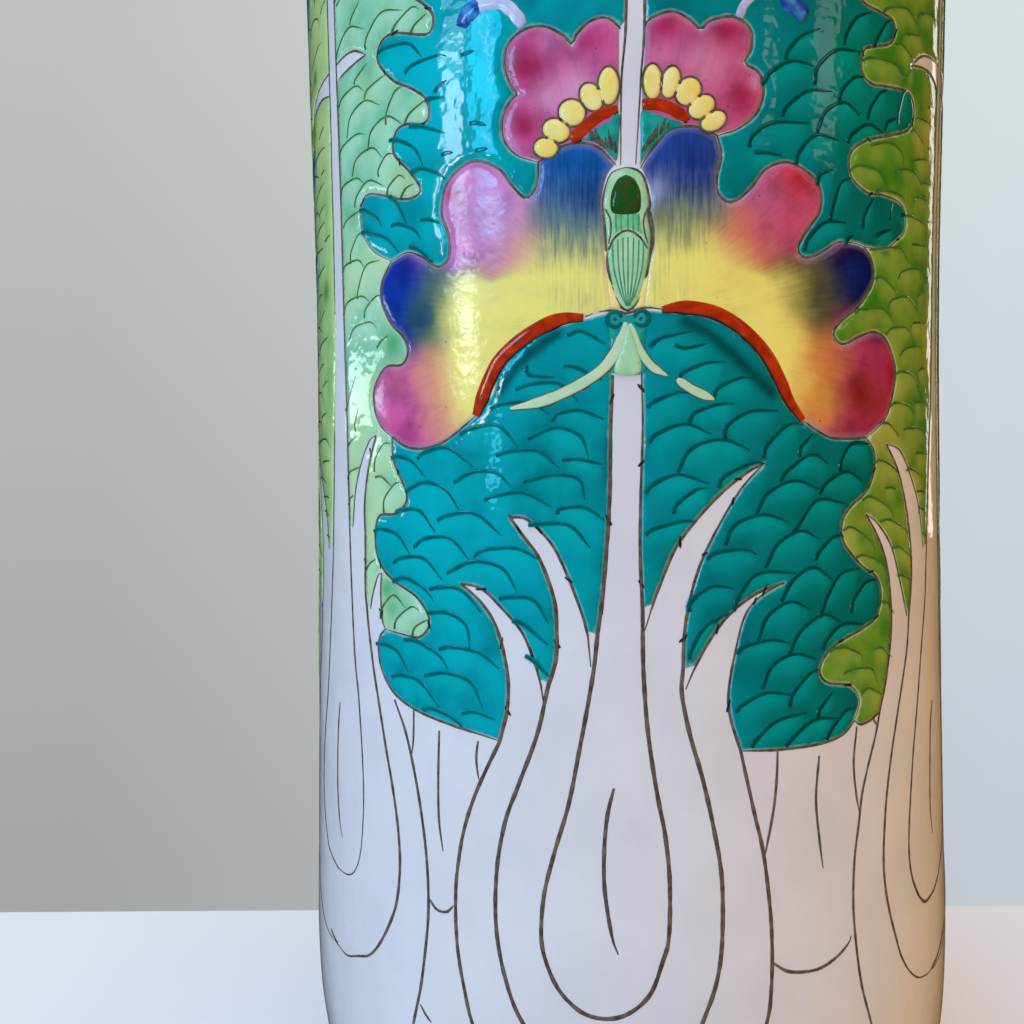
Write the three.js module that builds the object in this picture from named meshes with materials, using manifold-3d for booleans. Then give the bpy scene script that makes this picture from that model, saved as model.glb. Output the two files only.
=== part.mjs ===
// Cabbage leaf vase: a tall porcelain sleeve vase with raised overglaze enamel leaves and butterflies.
// Millimetres, +Z up. The origin is the centre of the foot; the side with the first butterfly faces -Y.
import * as THREE from 'three';
import { mergeVertices } from 'three/addons/utils/BufferGeometryUtils.js';
import Module from 'manifold-3d';

const wasm = await Module();
wasm.setup();

// Driving dimensions
const waistRadius = 60;
const height = 290;
const wallThickness = 5;
const footHeight = 5.6;
const footOuterRadius = 54.5;
const footInnerRadius = 50;
const floorTop = 12;
const lutingGap = 0.3;
const enamelThickness = 0.3;
const enamelGap = 0.05;
const inkChannel = 0.35;
const facets = 48;
const outlineTolerance = 0.4;
const flatTolerance = 0.01;
const repeats = 3;

// Colours
const porcelainWhite = '#dfe2e6';
const biscuit = '#cdbfa8';
const teal = '#0b9aa2';
const leafGreen = '#74b878';
const rosePink = '#c2558f';
const wingYellow = '#e2cf5c';
const bodyGreen = '#86c795';

const girth = 2 * Math.PI * waistRadius;

// Outer profile of the wall, [height, radius]: a curved-in base, a slight waist and a widening lip.
const outerProfile = [
  [footHeight + lutingGap, 56.6], [10, 58.2], [16, 59.4], [24, 60.3], [38, 60.7], [60, 60.4],
  [140, waistRadius], [192, 61.2], [232, 62.4], [262, 64.4], [279, 66.2],
];
const lipRadius = 67.3;
const lipThickness = 3.6;
const lipRounding = 2.4;
const lipSteps = 6;

function wallRadius(z) {
  const upper = outerProfile.findIndex(([level]) => level >= z);
  if (upper < 1) {
    return outerProfile[upper === 0 ? 0 : outerProfile.length - 1][1];
  }
  const [z0, r0] = outerProfile[upper - 1];
  const [z1, r1] = outerProfile[upper];
  return r0 + (r1 - r0) * (z - z0) / (z1 - z0);
}

const reversed = (run) => [...run].reverse();

function toSolid(geometry) {
  geometry.deleteAttribute('normal');
  geometry.deleteAttribute('uv');
  const merged = mergeVertices(geometry, 1e-4);
  return new wasm.Manifold(new wasm.Mesh({
    numProp: 3,
    vertProperties: new Float32Array(merged.attributes.position.array),
    triVerts: new Uint32Array(merged.index.array),
  }));
}

// The small triangles that a cut leaves on a flat face are joined again.
function toGeometry(solid) {
  const mesh = solid.asOriginal().simplify(flatTolerance).getMesh();
  const geometry = new THREE.BufferGeometry();
  geometry.setAttribute('position', new THREE.BufferAttribute(new Float32Array(mesh.vertProperties), 3));
  geometry.setIndex(new THREE.BufferAttribute(new Uint32Array(mesh.triVerts), 1));
  geometry.computeVertexNormals();
  return geometry;
}

// A revolved piece about +Z from a profile of [radius, height] pairs.
function revolved(profile) {
  const points = profile.map(([r, z]) => new THREE.Vector2(r, z));
  return new THREE.LatheGeometry(points, facets).rotateX(Math.PI / 2);
}

function cylinderWall() {
  const outside = outerProfile.map(([z, r]) => [r, z]);
  const lip = [];
  for (let step = 0; step <= lipSteps; step += 1) {
    const angle = Math.PI * step / lipSteps;
    const across = (1 + Math.cos(angle)) / 2;
    lip.push([lipRadius - lipThickness * (1 - across), height - lipRounding + lipRounding * Math.sin(angle)]);
  }
  const inside = outerProfile.slice(4).reverse().map(([z, r]) => [r - wallThickness, z]);
  const heel = [
    [footInnerRadius + 3.6, 18], [footInnerRadius + 1.2, floorTop + 0.6], [footInnerRadius, footHeight + lutingGap],
  ];
  const profile = [...outside, ...lip, ...inside, ...heel];
  return revolved([...profile, profile[0]]);
}

function baseDisc() {
  const radius = footInnerRadius - lutingGap;
  return revolved([
    [0, footHeight], [radius - 1, footHeight], [radius, footHeight + 1], [radius, floorTop],
    [radius - 8, floorTop - 1], [0, floorTop - 1.6],
  ]);
}

// The ring is wedge-shaped in section, with a bevel where it meets the shelf in the kiln.
function footRing() {
  const profile = [
    [footInnerRadius + 0.6, 0], [footOuterRadius - 0.8, 0], [footOuterRadius, 0.8], [56.2, footHeight],
    [footInnerRadius - 0.6, footHeight], [footInnerRadius, 0.6],
  ];
  return revolved([...profile, profile[0]]);
}

// Keeps only the points of a fine polyline that its shape needs.
function thinned(points) {
  const start = points[0];
  const end = points[points.length - 1];
  const chord = new THREE.Line3(new THREE.Vector3(start.x, start.y, 0), new THREE.Vector3(end.x, end.y, 0));
  const nearest = new THREE.Vector3();
  let farthest = 0;
  let at = 0;
  points.forEach((point, i) => {
    const here = new THREE.Vector3(point.x, point.y, 0);
    const away = chord.closestPointToPoint(here, true, nearest).distanceTo(here);
    if (away > farthest) {
      farthest = away;
      at = i;
    }
  });
  if (farthest < outlineTolerance) {
    return [start, end];
  }
  return [...thinned(points.slice(0, at + 1)).slice(0, -1), ...thinned(points.slice(at))];
}

function smooth(run) {
  const curve = new THREE.SplineCurve(run.map(([s, z]) => new THREE.Vector2(s, z)));
  const fine = curve.getSpacedPoints(Math.max(2, Math.round(curve.getLength())));
  return thinned(fine).map((point) => [point.x, point.y]);
}

// Outlines of the first repeat, unrolled: [distance round the waist from -Y, height].
// Each is the curve through the few points that a lobe or a stroke turns at.
const leafEdgeLeft = smooth([
  [-38.5, 250], [-34, 244], [-32, 240.5], [-38, 235], [-45, 227], [-37, 219.5], [-29.5, 213.5], [-37, 209.5],
  [-45, 203], [-38, 195.5], [-32.7, 192.2], [-29.3, 188.2], [-31, 186], [-37.9, 188.3], [-41.9, 186.5],
  [-39.9, 182.3], [-34.1, 178.5], [-30.6, 174.5], [-32, 172.4], [-37.9, 172.5], [-38.6, 169.3],
  [-34.9, 165.4], [-32.7, 162], [-36.8, 161.5], [-43.2, 163.7], [-48, 162], [-46.6, 156.5], [-39.7, 152],
]);
const leafEdgeRight = smooth([
  [44, 251], [41, 246], [38.3, 242.5], [44, 237], [51.5, 229], [44, 223.5], [38.5, 218.5], [45, 214],
  [54.5, 206.5], [45, 199], [38.2, 193.5], [42, 190], [47.5, 189.2], [48.5, 186.6], [43.3, 184], [40.1, 181.5],
  [42.6, 178.1], [49.9, 179.3], [55.2, 178.2], [54.6, 174], [47.4, 170.9], [39.7, 168], [38, 164],
  [43.9, 160.7], [51.2, 160.9], [53.4, 157.6], [48.4, 153.6], [41.5, 152.3],
]);
const leafCrownLeft = [
  [[-38.5, 250], [-37, 256.5], [-32, 259.5], [-28.3, 258.3]],
  [[-28.3, 258.3], [-27, 264], [-22, 268.6], [-16, 267.6], [-13.8, 265.8]],
  [[-13.8, 265.8], [-12, 271], [-6, 275.5], [1.7, 276.5]],
].map(smooth);
const leafCrownRight = [
  [[44, 251], [42.5, 256.5], [37, 259.5], [32.5, 258.5]],
  [[32.5, 258.5], [31, 264], [26, 268.5], [20, 268], [17, 266]],
  [[17, 266], [15.5, 271.5], [9.5, 275.5], [3, 276.5]],
].map(smooth);
const narrowCrownLeft = [
  [[-40, 249.5], [-41.5, 255], [-39.5, 259], [-42, 263.5]],
  [[-42, 263.5], [-46, 264.2], [-47, 269], [-51.5, 272.8], [-56.3, 274]],
].map(smooth);
const narrowCrownRight = [
  [[45.2, 249.5], [46.8, 254], [45.2, 259], [48.5, 263.5]],
  [[48.5, 263.5], [53, 264.2], [54.5, 269], [60, 272.8], [69.3, 274]],
].map(smooth);
const upperWingLeftRim = smooth([
  [0.4, 182.2], [-2, 184], [-5.1, 182.8], [-6.7, 180.6], [-9.1, 182.8], [-12.3, 183.7], [-16.2, 182],
  [-17.2, 179], [-15, 174.3], [-17.6, 171.5], [-17.2, 167], [-14, 164.5], [-12, 163],
]);
const upperWingRightRim = smooth([
  [3.9, 182.3], [7.8, 184.6], [10.4, 183.5], [12.1, 182], [14.9, 184], [18.4, 183.8], [20, 181.4],
  [18.8, 177.8], [21.5, 176], [21.9, 173.4], [19.4, 168.8], [14.6, 166.4],
]);
const wingSeamLeft = smooth([[-12, 163], [-10.1, 164.8], [-6.2, 165.9], [-2.7, 164.8], [-0.4, 162.3]]);
const wingSeamRight = smooth([[14.6, 166.4], [10.8, 167.9], [6.9, 166.9], [4, 163.2], [3.2, 162]]);
const lowerWingLeftRim = smooth([
  [-12, 163], [-13.9, 158.4], [-17.1, 161.9], [-22.2, 165], [-26.9, 163], [-28.6, 157.8], [-27.1, 152.7],
  [-29, 149.6], [-33.9, 152.4], [-37.8, 152.9], [-39.7, 152],
]);
const lowerWingLeftTip = smooth([
  [-39.7, 152], [-42, 149.6], [-42.4, 145.7], [-38.4, 140.2], [-36.1, 137], [-37.6, 134.9], [-41.6, 134.9],
  [-44.8, 131.6], [-44.6, 128], [-40, 123.4],
]);
const lowerWingRightRim = smooth([
  [14.6, 166.4], [15.3, 163.8], [14.6, 160.7], [14.8, 158.1], [16.8, 156.9], [19.7, 158.9], [22.3, 162.1],
  [25.8, 163.5], [29.6, 162.4], [32, 160], [32, 156.8], [28.3, 152], [28.3, 149.7], [32.5, 150.6],
  [37.6, 152.8], [41.5, 152.3],
]);
const lowerWingRightTip = smooth([
  [41.5, 152.3], [44, 148.5], [42.7, 145.3], [38.5, 141.4], [34.7, 138.2], [35.2, 136.8], [40.4, 138.2],
  [44.2, 139.2], [48.7, 136.9], [50.1, 133], [48.8, 128.6], [45.6, 124.6], [41.7, 122.4],
]);
const wingFootLeft = smooth([[-40, 123.4], [-36.5, 121.6], [-31.5, 121.2], [-22.5, 126]]);
const wingFootRight = smooth([[41.7, 122.4], [37, 121.9], [33.4, 122.3], [28.5, 124.7]]);
const redArcLeft = smooth([[-22.5, 126], [-20.3, 127.8], [-17.7, 133.7], [-12.3, 137.9], [-5.4, 139.6], [-1, 140.8]]);
const redArcRight = smooth([[28.5, 124.7], [26.1, 126.2], [23.2, 131.6], [18.1, 137.4], [11.4, 140.3], [3.4, 141]]);
const bodySideLeft = smooth([[-1, 140.8], [-1.7, 147.3], [-2.1, 153], [-2.4, 157], [-1.6, 160.6], [-0.4, 162.3]]);
const bodySideRight = smooth([[3.4, 141], [4.1, 146.3], [4.8, 151.4], [4.4, 155], [4.6, 158], [3.2, 162]]);
const bodyRim = smooth([
  [1.2, 161.9], [3.8, 160.2], [4.6, 156.5], [4.3, 154.9], [4.8, 151.4], [4.1, 146.3], [3, 142.5], [1.2, 140.7],
  [-0.5, 142.5], [-1.7, 147.3], [-2.1, 153], [-2.4, 157.1], [-1.4, 160.7],
]);
const leafSkirtLeft = smooth([
  [-40, 123.4], [-39.8, 119.8], [-36.5, 114], [-39.5, 110.8], [-43.7, 110.4], [-44.6, 106.1], [-41.9, 101.3],
  [-34.2, 97.5], [-31.6, 94], [-35.3, 90.9], [-41.8, 91.9],
]);
const leafHemLeft = smooth([[-41.8, 91.9], [-43.9, 88.6], [-40.1, 82], [-32.8, 78.9], [-18.8, 76.1]]);
const leafSkirtRight = smooth([
  [41.7, 122.4], [43.9, 120], [43.6, 116.7], [40.1, 112.5], [36.5, 109.6], [36.3, 106.5], [40.4, 102.3],
  [45, 98.7], [44.6, 95], [40.5, 92.4], [34.1, 90], [31.4, 87], [32.7, 84.6], [37.5, 83.7], [39.6, 81],
  [38.4, 78.2],
]);
const leafHemRight = smooth([[38.4, 78.2], [36.3, 76.5], [28.5, 75.1], [17.7, 75.2]]);
// White stems that rise like flames between the fields, tip at the turn.
const stemsLeft = [
  [[-18.8, 76.1], [-17.4, 84], [-19, 92.7], [-25.4, 100.2]],
  [[-25.4, 100.2], [-20.1, 97.8], [-15.3, 93], [-12.4, 85]],
  [[-11.2, 85], [-9.8, 88.5], [-9.8, 95], [-12.3, 103.9], [-17, 110.6]],
  [[-17, 110.6], [-12.3, 108.4], [-8, 101.3], [-5.9, 95.8], [-5.1, 93]],
].map(smooth);
const stemsRight = [
  [[17.7, 75.2], [15.9, 83], [17, 90], [19.8, 96.6], [25, 100.2]],
  [[25, 100.2], [18.4, 97.5], [13.6, 92.6], [10.8, 87.8]],
  [[9.1, 87.8], [9.4, 94], [11.4, 102.3], [16.2, 111.2], [21.9, 118.3]],
  [[21.9, 118.3], [14.6, 113.1], [9.1, 107.1], [5.6, 100.1], [4.4, 97]],
].map(smooth);
const midribLeft = smooth([[-3.5, 93], [-2.8, 98.2], [-1.9, 110.3], [-1.4, 123.7], [-1.1, 130.7], [-1, 140.8]]);
const midribRight = smooth([[3.1, 97], [2.9, 105], [3.1, 120], [3.2, 131], [3.4, 141]]);
const midribUpperLeft = smooth([[1.7, 270], [1.5, 220], [0.4, 182.2]]);
const midribUpperRight = smooth([[3, 270], [3.6, 220], [3.9, 182.3]]);
const narrowMidribLeft = [
  [[-56.3, 268], [-55.5, 200], [-55.2, 189.2]],
  [[-55.2, 189.2], [-50.5, 189], [-45, 187.3]],
  [[-45, 187.3], [-50, 186], [-55.2, 185.2]],
  [[-55.2, 185.2], [-54.9, 140], [-53.8, 120], [-53.2, 111.5]],
].map(smooth);
const narrowStemsLeft = [
  [[-51.6, 111.5], [-50.2, 116.7], [-47.2, 121.8], [-45.3, 122.8]],
  [[-45.3, 122.8], [-46.6, 119.2], [-47.8, 112.8], [-47.7, 101], [-47.5, 98.6]],
  [[-45.3, 98.6], [-43.7, 100.9], [-42.8, 100.9]],
  [[-42.8, 100.9], [-43.2, 97], [-42.9, 94], [-41.8, 91.9]],
].map(smooth);
const narrowMidribRight = [
  [[69.3, 268], [68.8, 200], [68.6, 188.8]],
  [[68.6, 188.8], [61.5, 187.6], [54.8, 184.4]],
  [[54.8, 184.4], [60.5, 185.8], [68.4, 184.9]],
  [[68.4, 184.9], [66.9, 140], [64.3, 119], [62.6, 107]],
].map(smooth);
const narrowStemsRight = [
  [[60, 107], [57.6, 113.1], [53.1, 118.9], [48.4, 121.2]],
  [[48.4, 121.2], [52, 114.7], [54.6, 106.5], [54.9, 100], [53.9, 95.5]],
  [[52.6, 95.5], [50.3, 100.7], [47.1, 106.4], [42.2, 110]],
  [[42.2, 110], [45.8, 104.9], [47.9, 97], [47.6, 88.8], [44.9, 80]],
].map(smooth);
const narrowHemRight = smooth([[44.9, 80], [42.5, 78.4], [38.4, 78.2]]);

// The centre lines of the three narrow leaves, [height, distance round the waist]. They lean a little by hand.
const narrowLeafCentres = [
  [[0, -58], [50, -58.1], [80, -57.6], [110, -56.9], [height, -56.9]],
  [[0, 60], [33, 61], [53, 63.3], [75, 64.8], [100, 66.9], [150, 69.4], [185, 70], [height, 70]],
  [[0, 195.6], [60, 195.6], [150, 195], [height, 195]],
];

function centreLine(line, z) {
  const upper = Math.max(1, line.findIndex(([level]) => level >= z));
  const [z0, s0] = line[upper - 1];
  const [z1, s1] = line[upper];
  return s0 + (s1 - s0) * (z - z0) / (z1 - z0);
}

// Moves a point of the first repeat to another repeat: the pattern is drawn between two narrow leaves,
// and the second repeat is its mirror image.
function toRepeat(index, [s, z]) {
  const [first, second, third] = narrowLeafCentres.map((line) => centreLine(line, z));
  const share = (s - first) / (second - first);
  if (index === 0) {
    return [s, z];
  }
  if (index === 1) {
    return [third + (second - third) * share, z];
  }
  return [third + (first + girth - third) * share, z];
}

// A closed outline from runs that follow each other, drawn in by half the ink line that parts two fields.
function fieldOutline(runs, index) {
  let points = runs.flatMap((run) => run.slice(0, -1)).map((point) => toRepeat(index, point));
  points = points.filter(([s, z], i) => {
    const [s1, z1] = points[(i + 1) % points.length];
    return Math.hypot(s1 - s, z1 - z) > 0.4;
  });
  const contour = points.map(([s, z]) => new THREE.Vector2(s, z));
  if (THREE.ShapeUtils.area(contour) < 0) {
    contour.reverse();
  }
  return contour.map((point, i) => {
    const before = contour[(i + contour.length - 1) % contour.length];
    const after = contour[(i + 1) % contour.length];
    const normalIn = point.clone().sub(before).normalize();
    const normalOut = after.clone().sub(point).normalize();
    const inward = new THREE.Vector2(-normalIn.y - normalOut.y, normalIn.x + normalOut.x);
    const bend = Math.max(0.55, inward.length() / 2);
    return point.clone().addScaledVector(inward.normalize(), inkChannel / bend);
  });
}

// The space through the wall that an outline covers, run straight out along the middle direction of its field.
const coverInward = 4;
const coverOutward = 16;

function coverPrism(contour) {
  const count = contour.length;
  const middle = new THREE.Box2().setFromPoints(contour).getCenter(new THREE.Vector2()).x / waistRadius;
  const positions = [];
  for (const reach of [-coverInward, coverOutward]) {
    for (const point of contour) {
      const angle = point.x / waistRadius;
      const radius = wallRadius(point.y);
      const x = radius * Math.sin(angle) + reach * Math.sin(middle);
      const y = -radius * Math.cos(angle) - reach * Math.cos(middle);
      positions.push(x, y, point.y);
    }
  }
  const indices = [];
  for (let i = 0; i < count; i += 1) {
    const j = (i + 1) % count;
    indices.push(i, j, count + j, i, count + j, count + i);
  }
  for (const [a, b, c] of THREE.ShapeUtils.triangulateShape(contour, [])) {
    indices.push(a, c, b, count + a, count + b, count + c);
  }
  const geometry = new THREE.BufferGeometry();
  geometry.setAttribute('position', new THREE.Float32BufferAttribute(positions, 3));
  geometry.setIndex(indices);
  return toSolid(geometry);
}

// A thin sleeve that lies on the wall, from which each enamel field is cut.
function enamelSleeve() {
  const levels = outerProfile.filter(([z]) => z > 50);
  const inside = levels.map(([z, r]) => [r + enamelGap, z]);
  const outside = levels.map(([z, r]) => [r + enamelGap + enamelThickness, z]);
  const profile = [...outside, ...reversed(inside)];
  return toSolid(revolved([...profile, profile[0]]));
}

const fields = {
  teal_leaf_upper_left: [teal, [
    midribUpperLeft, upperWingLeftRim, lowerWingLeftRim, reversed(leafEdgeLeft), ...leafCrownLeft,
  ]],
  teal_leaf_upper_right: [teal, [
    midribUpperRight, upperWingRightRim, lowerWingRightRim, reversed(leafEdgeRight), ...leafCrownRight,
  ]],
  teal_leaf_lower_left: [teal, [
    reversed(redArcLeft), reversed(wingFootLeft), leafSkirtLeft, leafHemLeft, ...stemsLeft, midribLeft,
  ]],
  teal_leaf_lower_right: [teal, [
    reversed(redArcRight), reversed(wingFootRight), leafSkirtRight, leafHemRight, ...stemsRight, midribRight,
  ]],
  green_leaf_right: [leafGreen, [
    ...narrowMidribLeft, ...narrowStemsLeft, reversed(leafSkirtLeft), reversed(lowerWingLeftTip),
    reversed(leafEdgeLeft), ...narrowCrownLeft,
  ]],
  green_leaf_left: [leafGreen, [
    ...narrowMidribRight, ...narrowStemsRight, narrowHemRight, reversed(leafSkirtRight),
    reversed(lowerWingRightTip), reversed(leafEdgeRight), ...narrowCrownRight,
  ]],
  upper_wing_left: [rosePink, [upperWingLeftRim, wingSeamLeft, [[-0.4, 162.3], [0.3, 172], [0.4, 182.2]]]],
  upper_wing_right: [rosePink, [upperWingRightRim, wingSeamRight, [[3.2, 162], [3.3, 172], [3.9, 182.3]]]],
  lower_wing_left: [wingYellow, [
    reversed(wingSeamLeft), lowerWingLeftRim, lowerWingLeftTip, wingFootLeft, redArcLeft, bodySideLeft,
  ]],
  lower_wing_right: [wingYellow, [
    reversed(wingSeamRight), lowerWingRightRim, lowerWingRightTip, wingFootRight, redArcRight, bodySideRight,
  ]],
  butterfly_body: [bodyGreen, [[...bodyRim, bodyRim[0]]]],
};

function glazed(color) {
  return new THREE.MeshStandardMaterial({ color, roughness: 0.12, metalness: 0 });
}

const vase = new THREE.Group();
vase.name = 'cabbage_leaf_vase';

function addPiece(name, geometry, material) {
  const mesh = new THREE.Mesh(geometry, material);
  mesh.name = name;
  vase.add(mesh);
}

addPiece('cylinder_wall', cylinderWall(), glazed(porcelainWhite));
addPiece('base_disc', baseDisc(), glazed(porcelainWhite));
addPiece('foot_ring', footRing(), new THREE.MeshStandardMaterial({ color: biscuit, roughness: 0.8, metalness: 0 }));

const sleeve = enamelSleeve();
for (let index = 0; index < repeats; index += 1) {
  for (const [field, [color, runs]] of Object.entries(fields)) {
    const solid = sleeve.intersect(coverPrism(fieldOutline(runs, index)));
    addPiece(`${field}_${index + 1}`, toGeometry(solid), glazed(color));
  }
}

export default vase;
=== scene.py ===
# Cabbage leaf vase: the glazed, inked and enamelled look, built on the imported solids.
import math

import bpy
import numpy as np
from mathutils import Matrix, Vector
from mathutils.geometry import delaunay_2d_cdt


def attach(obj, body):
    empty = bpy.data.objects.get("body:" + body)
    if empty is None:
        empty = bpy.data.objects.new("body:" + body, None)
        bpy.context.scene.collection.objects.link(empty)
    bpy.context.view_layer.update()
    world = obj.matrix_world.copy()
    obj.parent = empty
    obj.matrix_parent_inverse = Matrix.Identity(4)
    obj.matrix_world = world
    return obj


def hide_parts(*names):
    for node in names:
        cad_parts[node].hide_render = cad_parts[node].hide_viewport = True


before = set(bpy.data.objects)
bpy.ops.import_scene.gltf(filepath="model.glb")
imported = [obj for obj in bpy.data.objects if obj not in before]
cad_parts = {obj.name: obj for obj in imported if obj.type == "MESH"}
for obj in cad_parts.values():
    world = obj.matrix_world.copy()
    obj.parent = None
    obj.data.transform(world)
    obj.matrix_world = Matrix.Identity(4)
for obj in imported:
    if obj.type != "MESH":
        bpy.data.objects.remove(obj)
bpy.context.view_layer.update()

# Everything painted is drawn flat, in millimetres: distance round the waist from the front, height, and
# lift off the wall. At the end each sheet is laid round the wall, three times.
MM = 0.001
PER_METRE = 1000.0
WAIST_RADIUS = 60.0
GIRTH = 2 * math.pi * WAIST_RADIUS
HEIGHT = 290.0
LATHE_STEPS = 360

# Camera, from the perspective of the photographed wall: metres, turns, and lens and sensor in millimetres
CAMERA_PLACE = (0.0, -0.225, 0.111)
CAMERA_TURN = math.radians(5.62)
CAMERA_ROLL = math.radians(0.372)
CAMERA_LENS = 38.9
SENSOR_WIDTH = 36

# Enamel sizes in millimetres
ENAMEL_RISE = 0.22
ENAMEL_SINK = 0.15
EDGE_ROUNDING = 0.45
EDGE_INSET = 0.16
LEAF_GRID = 0.75
WING_GRID = 0.5
TOUCH_GRID = 0.6

# How high the strokes lie off the wall, in millimetres
MARK_LIFT = 0.06
BAR_INK_LIFT = 0.1
HORN_LIFT = 0.14
TIP_LIFT = 0.18
EDGE_INK_LIFT = 0.24
TAIL_LIFT = 0.26
HATCH_LIFT = 0.28
HEAD_LINE_LIFT = 0.29
RING_LIFT = 0.31

# Distance between the points of a stroke, in millimetres
INK_STEP = 0.8
SHADOW_STEP = 0.8
TOUCH_STEP = 0.5


def curve_through(points, step=0.6):
    """The curve through given points, as a polyline with about that step."""
    p = np.array(points, float)
    p = np.vstack([2 * p[0] - p[1], p, 2 * p[-1] - p[-2]])
    line = []
    for a, b, c, d in zip(p, p[1:], p[2:], p[3:]):
        count = max(1, int(round(np.linalg.norm(c - b) / step)))
        t = (np.arange(count) / count)[:, None]
        bend = (2 * a - 5 * b + 4 * c - d) * t**2 + (3 * b - 3 * c + d - a) * t**3
        line.append(b + 0.5 * ((c - a) * t + bend))
    return np.vstack(line + [p[-2]])


# Outer profile, (height, radius): curved-in base, slight waist, widening lip.
OUTER = curve_through([
    (5.9, 56.6), (10, 58.2), (16, 59.4), (24, 60.3), (38, 60.7), (60, 60.4), (140, 60), (192, 61.2),
    (232, 62.4), (262, 64.4), (279, 66.2), (287.6, 67.3),
], 2.0)


def wall_radius(z):
    return np.interp(z, OUTER[:, 0], OUTER[:, 1])


def round_the_wall(points):
    """Flat points (round, height, lift) as places in the row frame, in metres."""
    s, z, lift = np.asarray(points, float).T
    radius = wall_radius(z) + lift
    turn = s / WAIST_RADIUS
    return np.column_stack([radius * np.sin(turn), -radius * np.cos(turn), z]) * MM


# Centre lines of the three narrow leaves, (height, distance round). They lean a little by hand.
NARROW_CENTRES = [
    [(0, -58), (50, -58.1), (80, -57.6), (110, -56.9), (290, -56.9)],
    [(0, 60), (33, 61), (53, 63.3), (75, 64.8), (100, 66.9), (150, 69.4), (185, 70), (290, 70)],
    [(0, 195.6), (60, 195.6), (150, 195), (290, 195)],
]
REPEATS = 3
# The seam of the third repeat is lifted low down: how much, below which height, and over what run
SEAM_LIFT = 2.5
SEAM_TOP = 95.0
SEAM_RUN = 45.0


def to_repeat(index, points):
    """Flat points of the first repeat moved to another one. The second repeat is a mirror image."""
    p = np.array(points, float)
    if index == 0:
        return p
    first, second, third = (np.interp(p[:, 1], *np.array(line).T) for line in NARROW_CENTRES)
    share = (p[:, 0] - first) / (second - first)
    if index == 1:
        p[:, 0] = third + (second - third) * share
    else:
        p[:, 0] = third + (first + GIRTH - third) * share
        p[:, 1] += SEAM_LIFT * np.clip(share, 0, 1) ** 4 * np.clip((SEAM_TOP - p[:, 1]) / SEAM_RUN, 0, 1)
    return p


# Outlines of the first repeat

LEAF_EDGE_LEFT = curve_through([
    (-38.5, 250), (-34, 244), (-32, 240.5), (-38, 235), (-45, 227), (-37, 219.5), (-29.5, 213.5), (-37, 209.5),
    (-45, 203), (-38, 195.5), (-32.7, 192.2), (-30, 189.7), (-29.3, 188.2), (-30, 186.3), (-32.2, 186.5),
    (-37.9, 188.3), (-41, 187.6), (-41.8, 184.9), (-38.3, 180.9), (-34.1, 178.5), (-31.2, 176.2), (-30.6, 173.6),
    (-32, 172.4), (-35.5, 173.2), (-37.9, 172.5), (-38.6, 169.3), (-34.9, 165.4), (-32.7, 162.4), (-33.5, 161.5),
    (-36.8, 161.5), (-44.8, 164), (-47.5, 163), (-47.8, 158.7), (-44.6, 154.6), (-39.7, 152),
])
LEAF_EDGE_RIGHT = curve_through([
    (44, 251), (41, 246), (38.3, 242.5), (44, 237), (51.5, 229), (44, 223.5), (38.5, 218.5), (45, 214),
    (54.5, 206.5), (45, 199), (38.2, 193.5), (40.3, 190.3), (44.1, 189.8), (48.2, 189.3), (48.7, 187),
    (46.8, 185.2), (43.3, 184), (40.7, 182.8), (40.4, 179.5), (42.6, 178.1), (46.4, 178.5), (53.1, 179.3),
    (55.4, 178), (55.5, 175.3), (53.1, 172.9), (47.4, 170.9), (41.3, 168.8), (38, 166.2), (38.5, 162.7),
    (42.3, 160.9), (45.8, 161.2), (51.2, 160.9), (53.3, 159.2), (53, 156.5), (50.3, 154.6), (46.8, 152.8),
    (41.5, 152.3),
])
LEAF_CROWN_LEFT = [curve_through(run) for run in (
    [(-38.5, 250), (-37, 256.5), (-32, 259.5), (-28.3, 258.3)],
    [(-28.3, 258.3), (-27, 264), (-22, 268.6), (-16, 267.6), (-13.8, 265.8)],
    [(-13.8, 265.8), (-12, 271), (-6, 275.5), (1.7, 276.5)],
)]
LEAF_CROWN_RIGHT = [curve_through(run) for run in (
    [(44, 251), (42.5, 256.5), (37, 259.5), (32.5, 258.5)],
    [(32.5, 258.5), (31, 264), (26, 268.5), (20, 268), (17, 266)],
    [(17, 266), (15.5, 271.5), (9.5, 275.5), (3, 276.5)],
)]
NARROW_CROWN_LEFT = [curve_through(run) for run in (
    [(-40, 249.5), (-41.5, 255), (-39.5, 259), (-42, 263.5)],
    [(-42, 263.5), (-46, 264.2), (-47, 269), (-51.5, 272.8), (-56.3, 274)],
)]
NARROW_CROWN_RIGHT = [curve_through(run) for run in (
    [(45.2, 249.5), (46.8, 254), (45.2, 259), (48.5, 263.5)],
    [(48.5, 263.5), (53, 264.2), (54.5, 269), (60, 272.8), (69.3, 274)],
)]
UPPER_WING_LEFT = curve_through([
    (0.4, 182.2), (-1.4, 183.9), (-4, 183.6), (-6.1, 181.7), (-6.7, 180.4), (-7.8, 181.7), (-10.7, 183.5),
    (-13.9, 183.5), (-16.6, 181.5), (-17.1, 178.2), (-15.8, 174.8), (-15, 174.1), (-16.1, 173.4),
    (-17.6, 170.9), (-17.5, 167.7), (-15.5, 165), (-12, 163.5),
])
UPPER_WING_RIGHT = curve_through([
    (3.9, 182.3), (4.6, 183.5), (7.8, 184.6), (10.4, 183.5), (12.1, 182.1), (13.3, 183.3), (16.8, 184.2),
    (19.6, 182.8), (19.9, 179.8), (18.8, 177.6), (21.2, 176.3), (21.9, 173.4), (20.7, 170.2), (17.8, 167.8),
    (14.6, 166.6),
])
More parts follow.
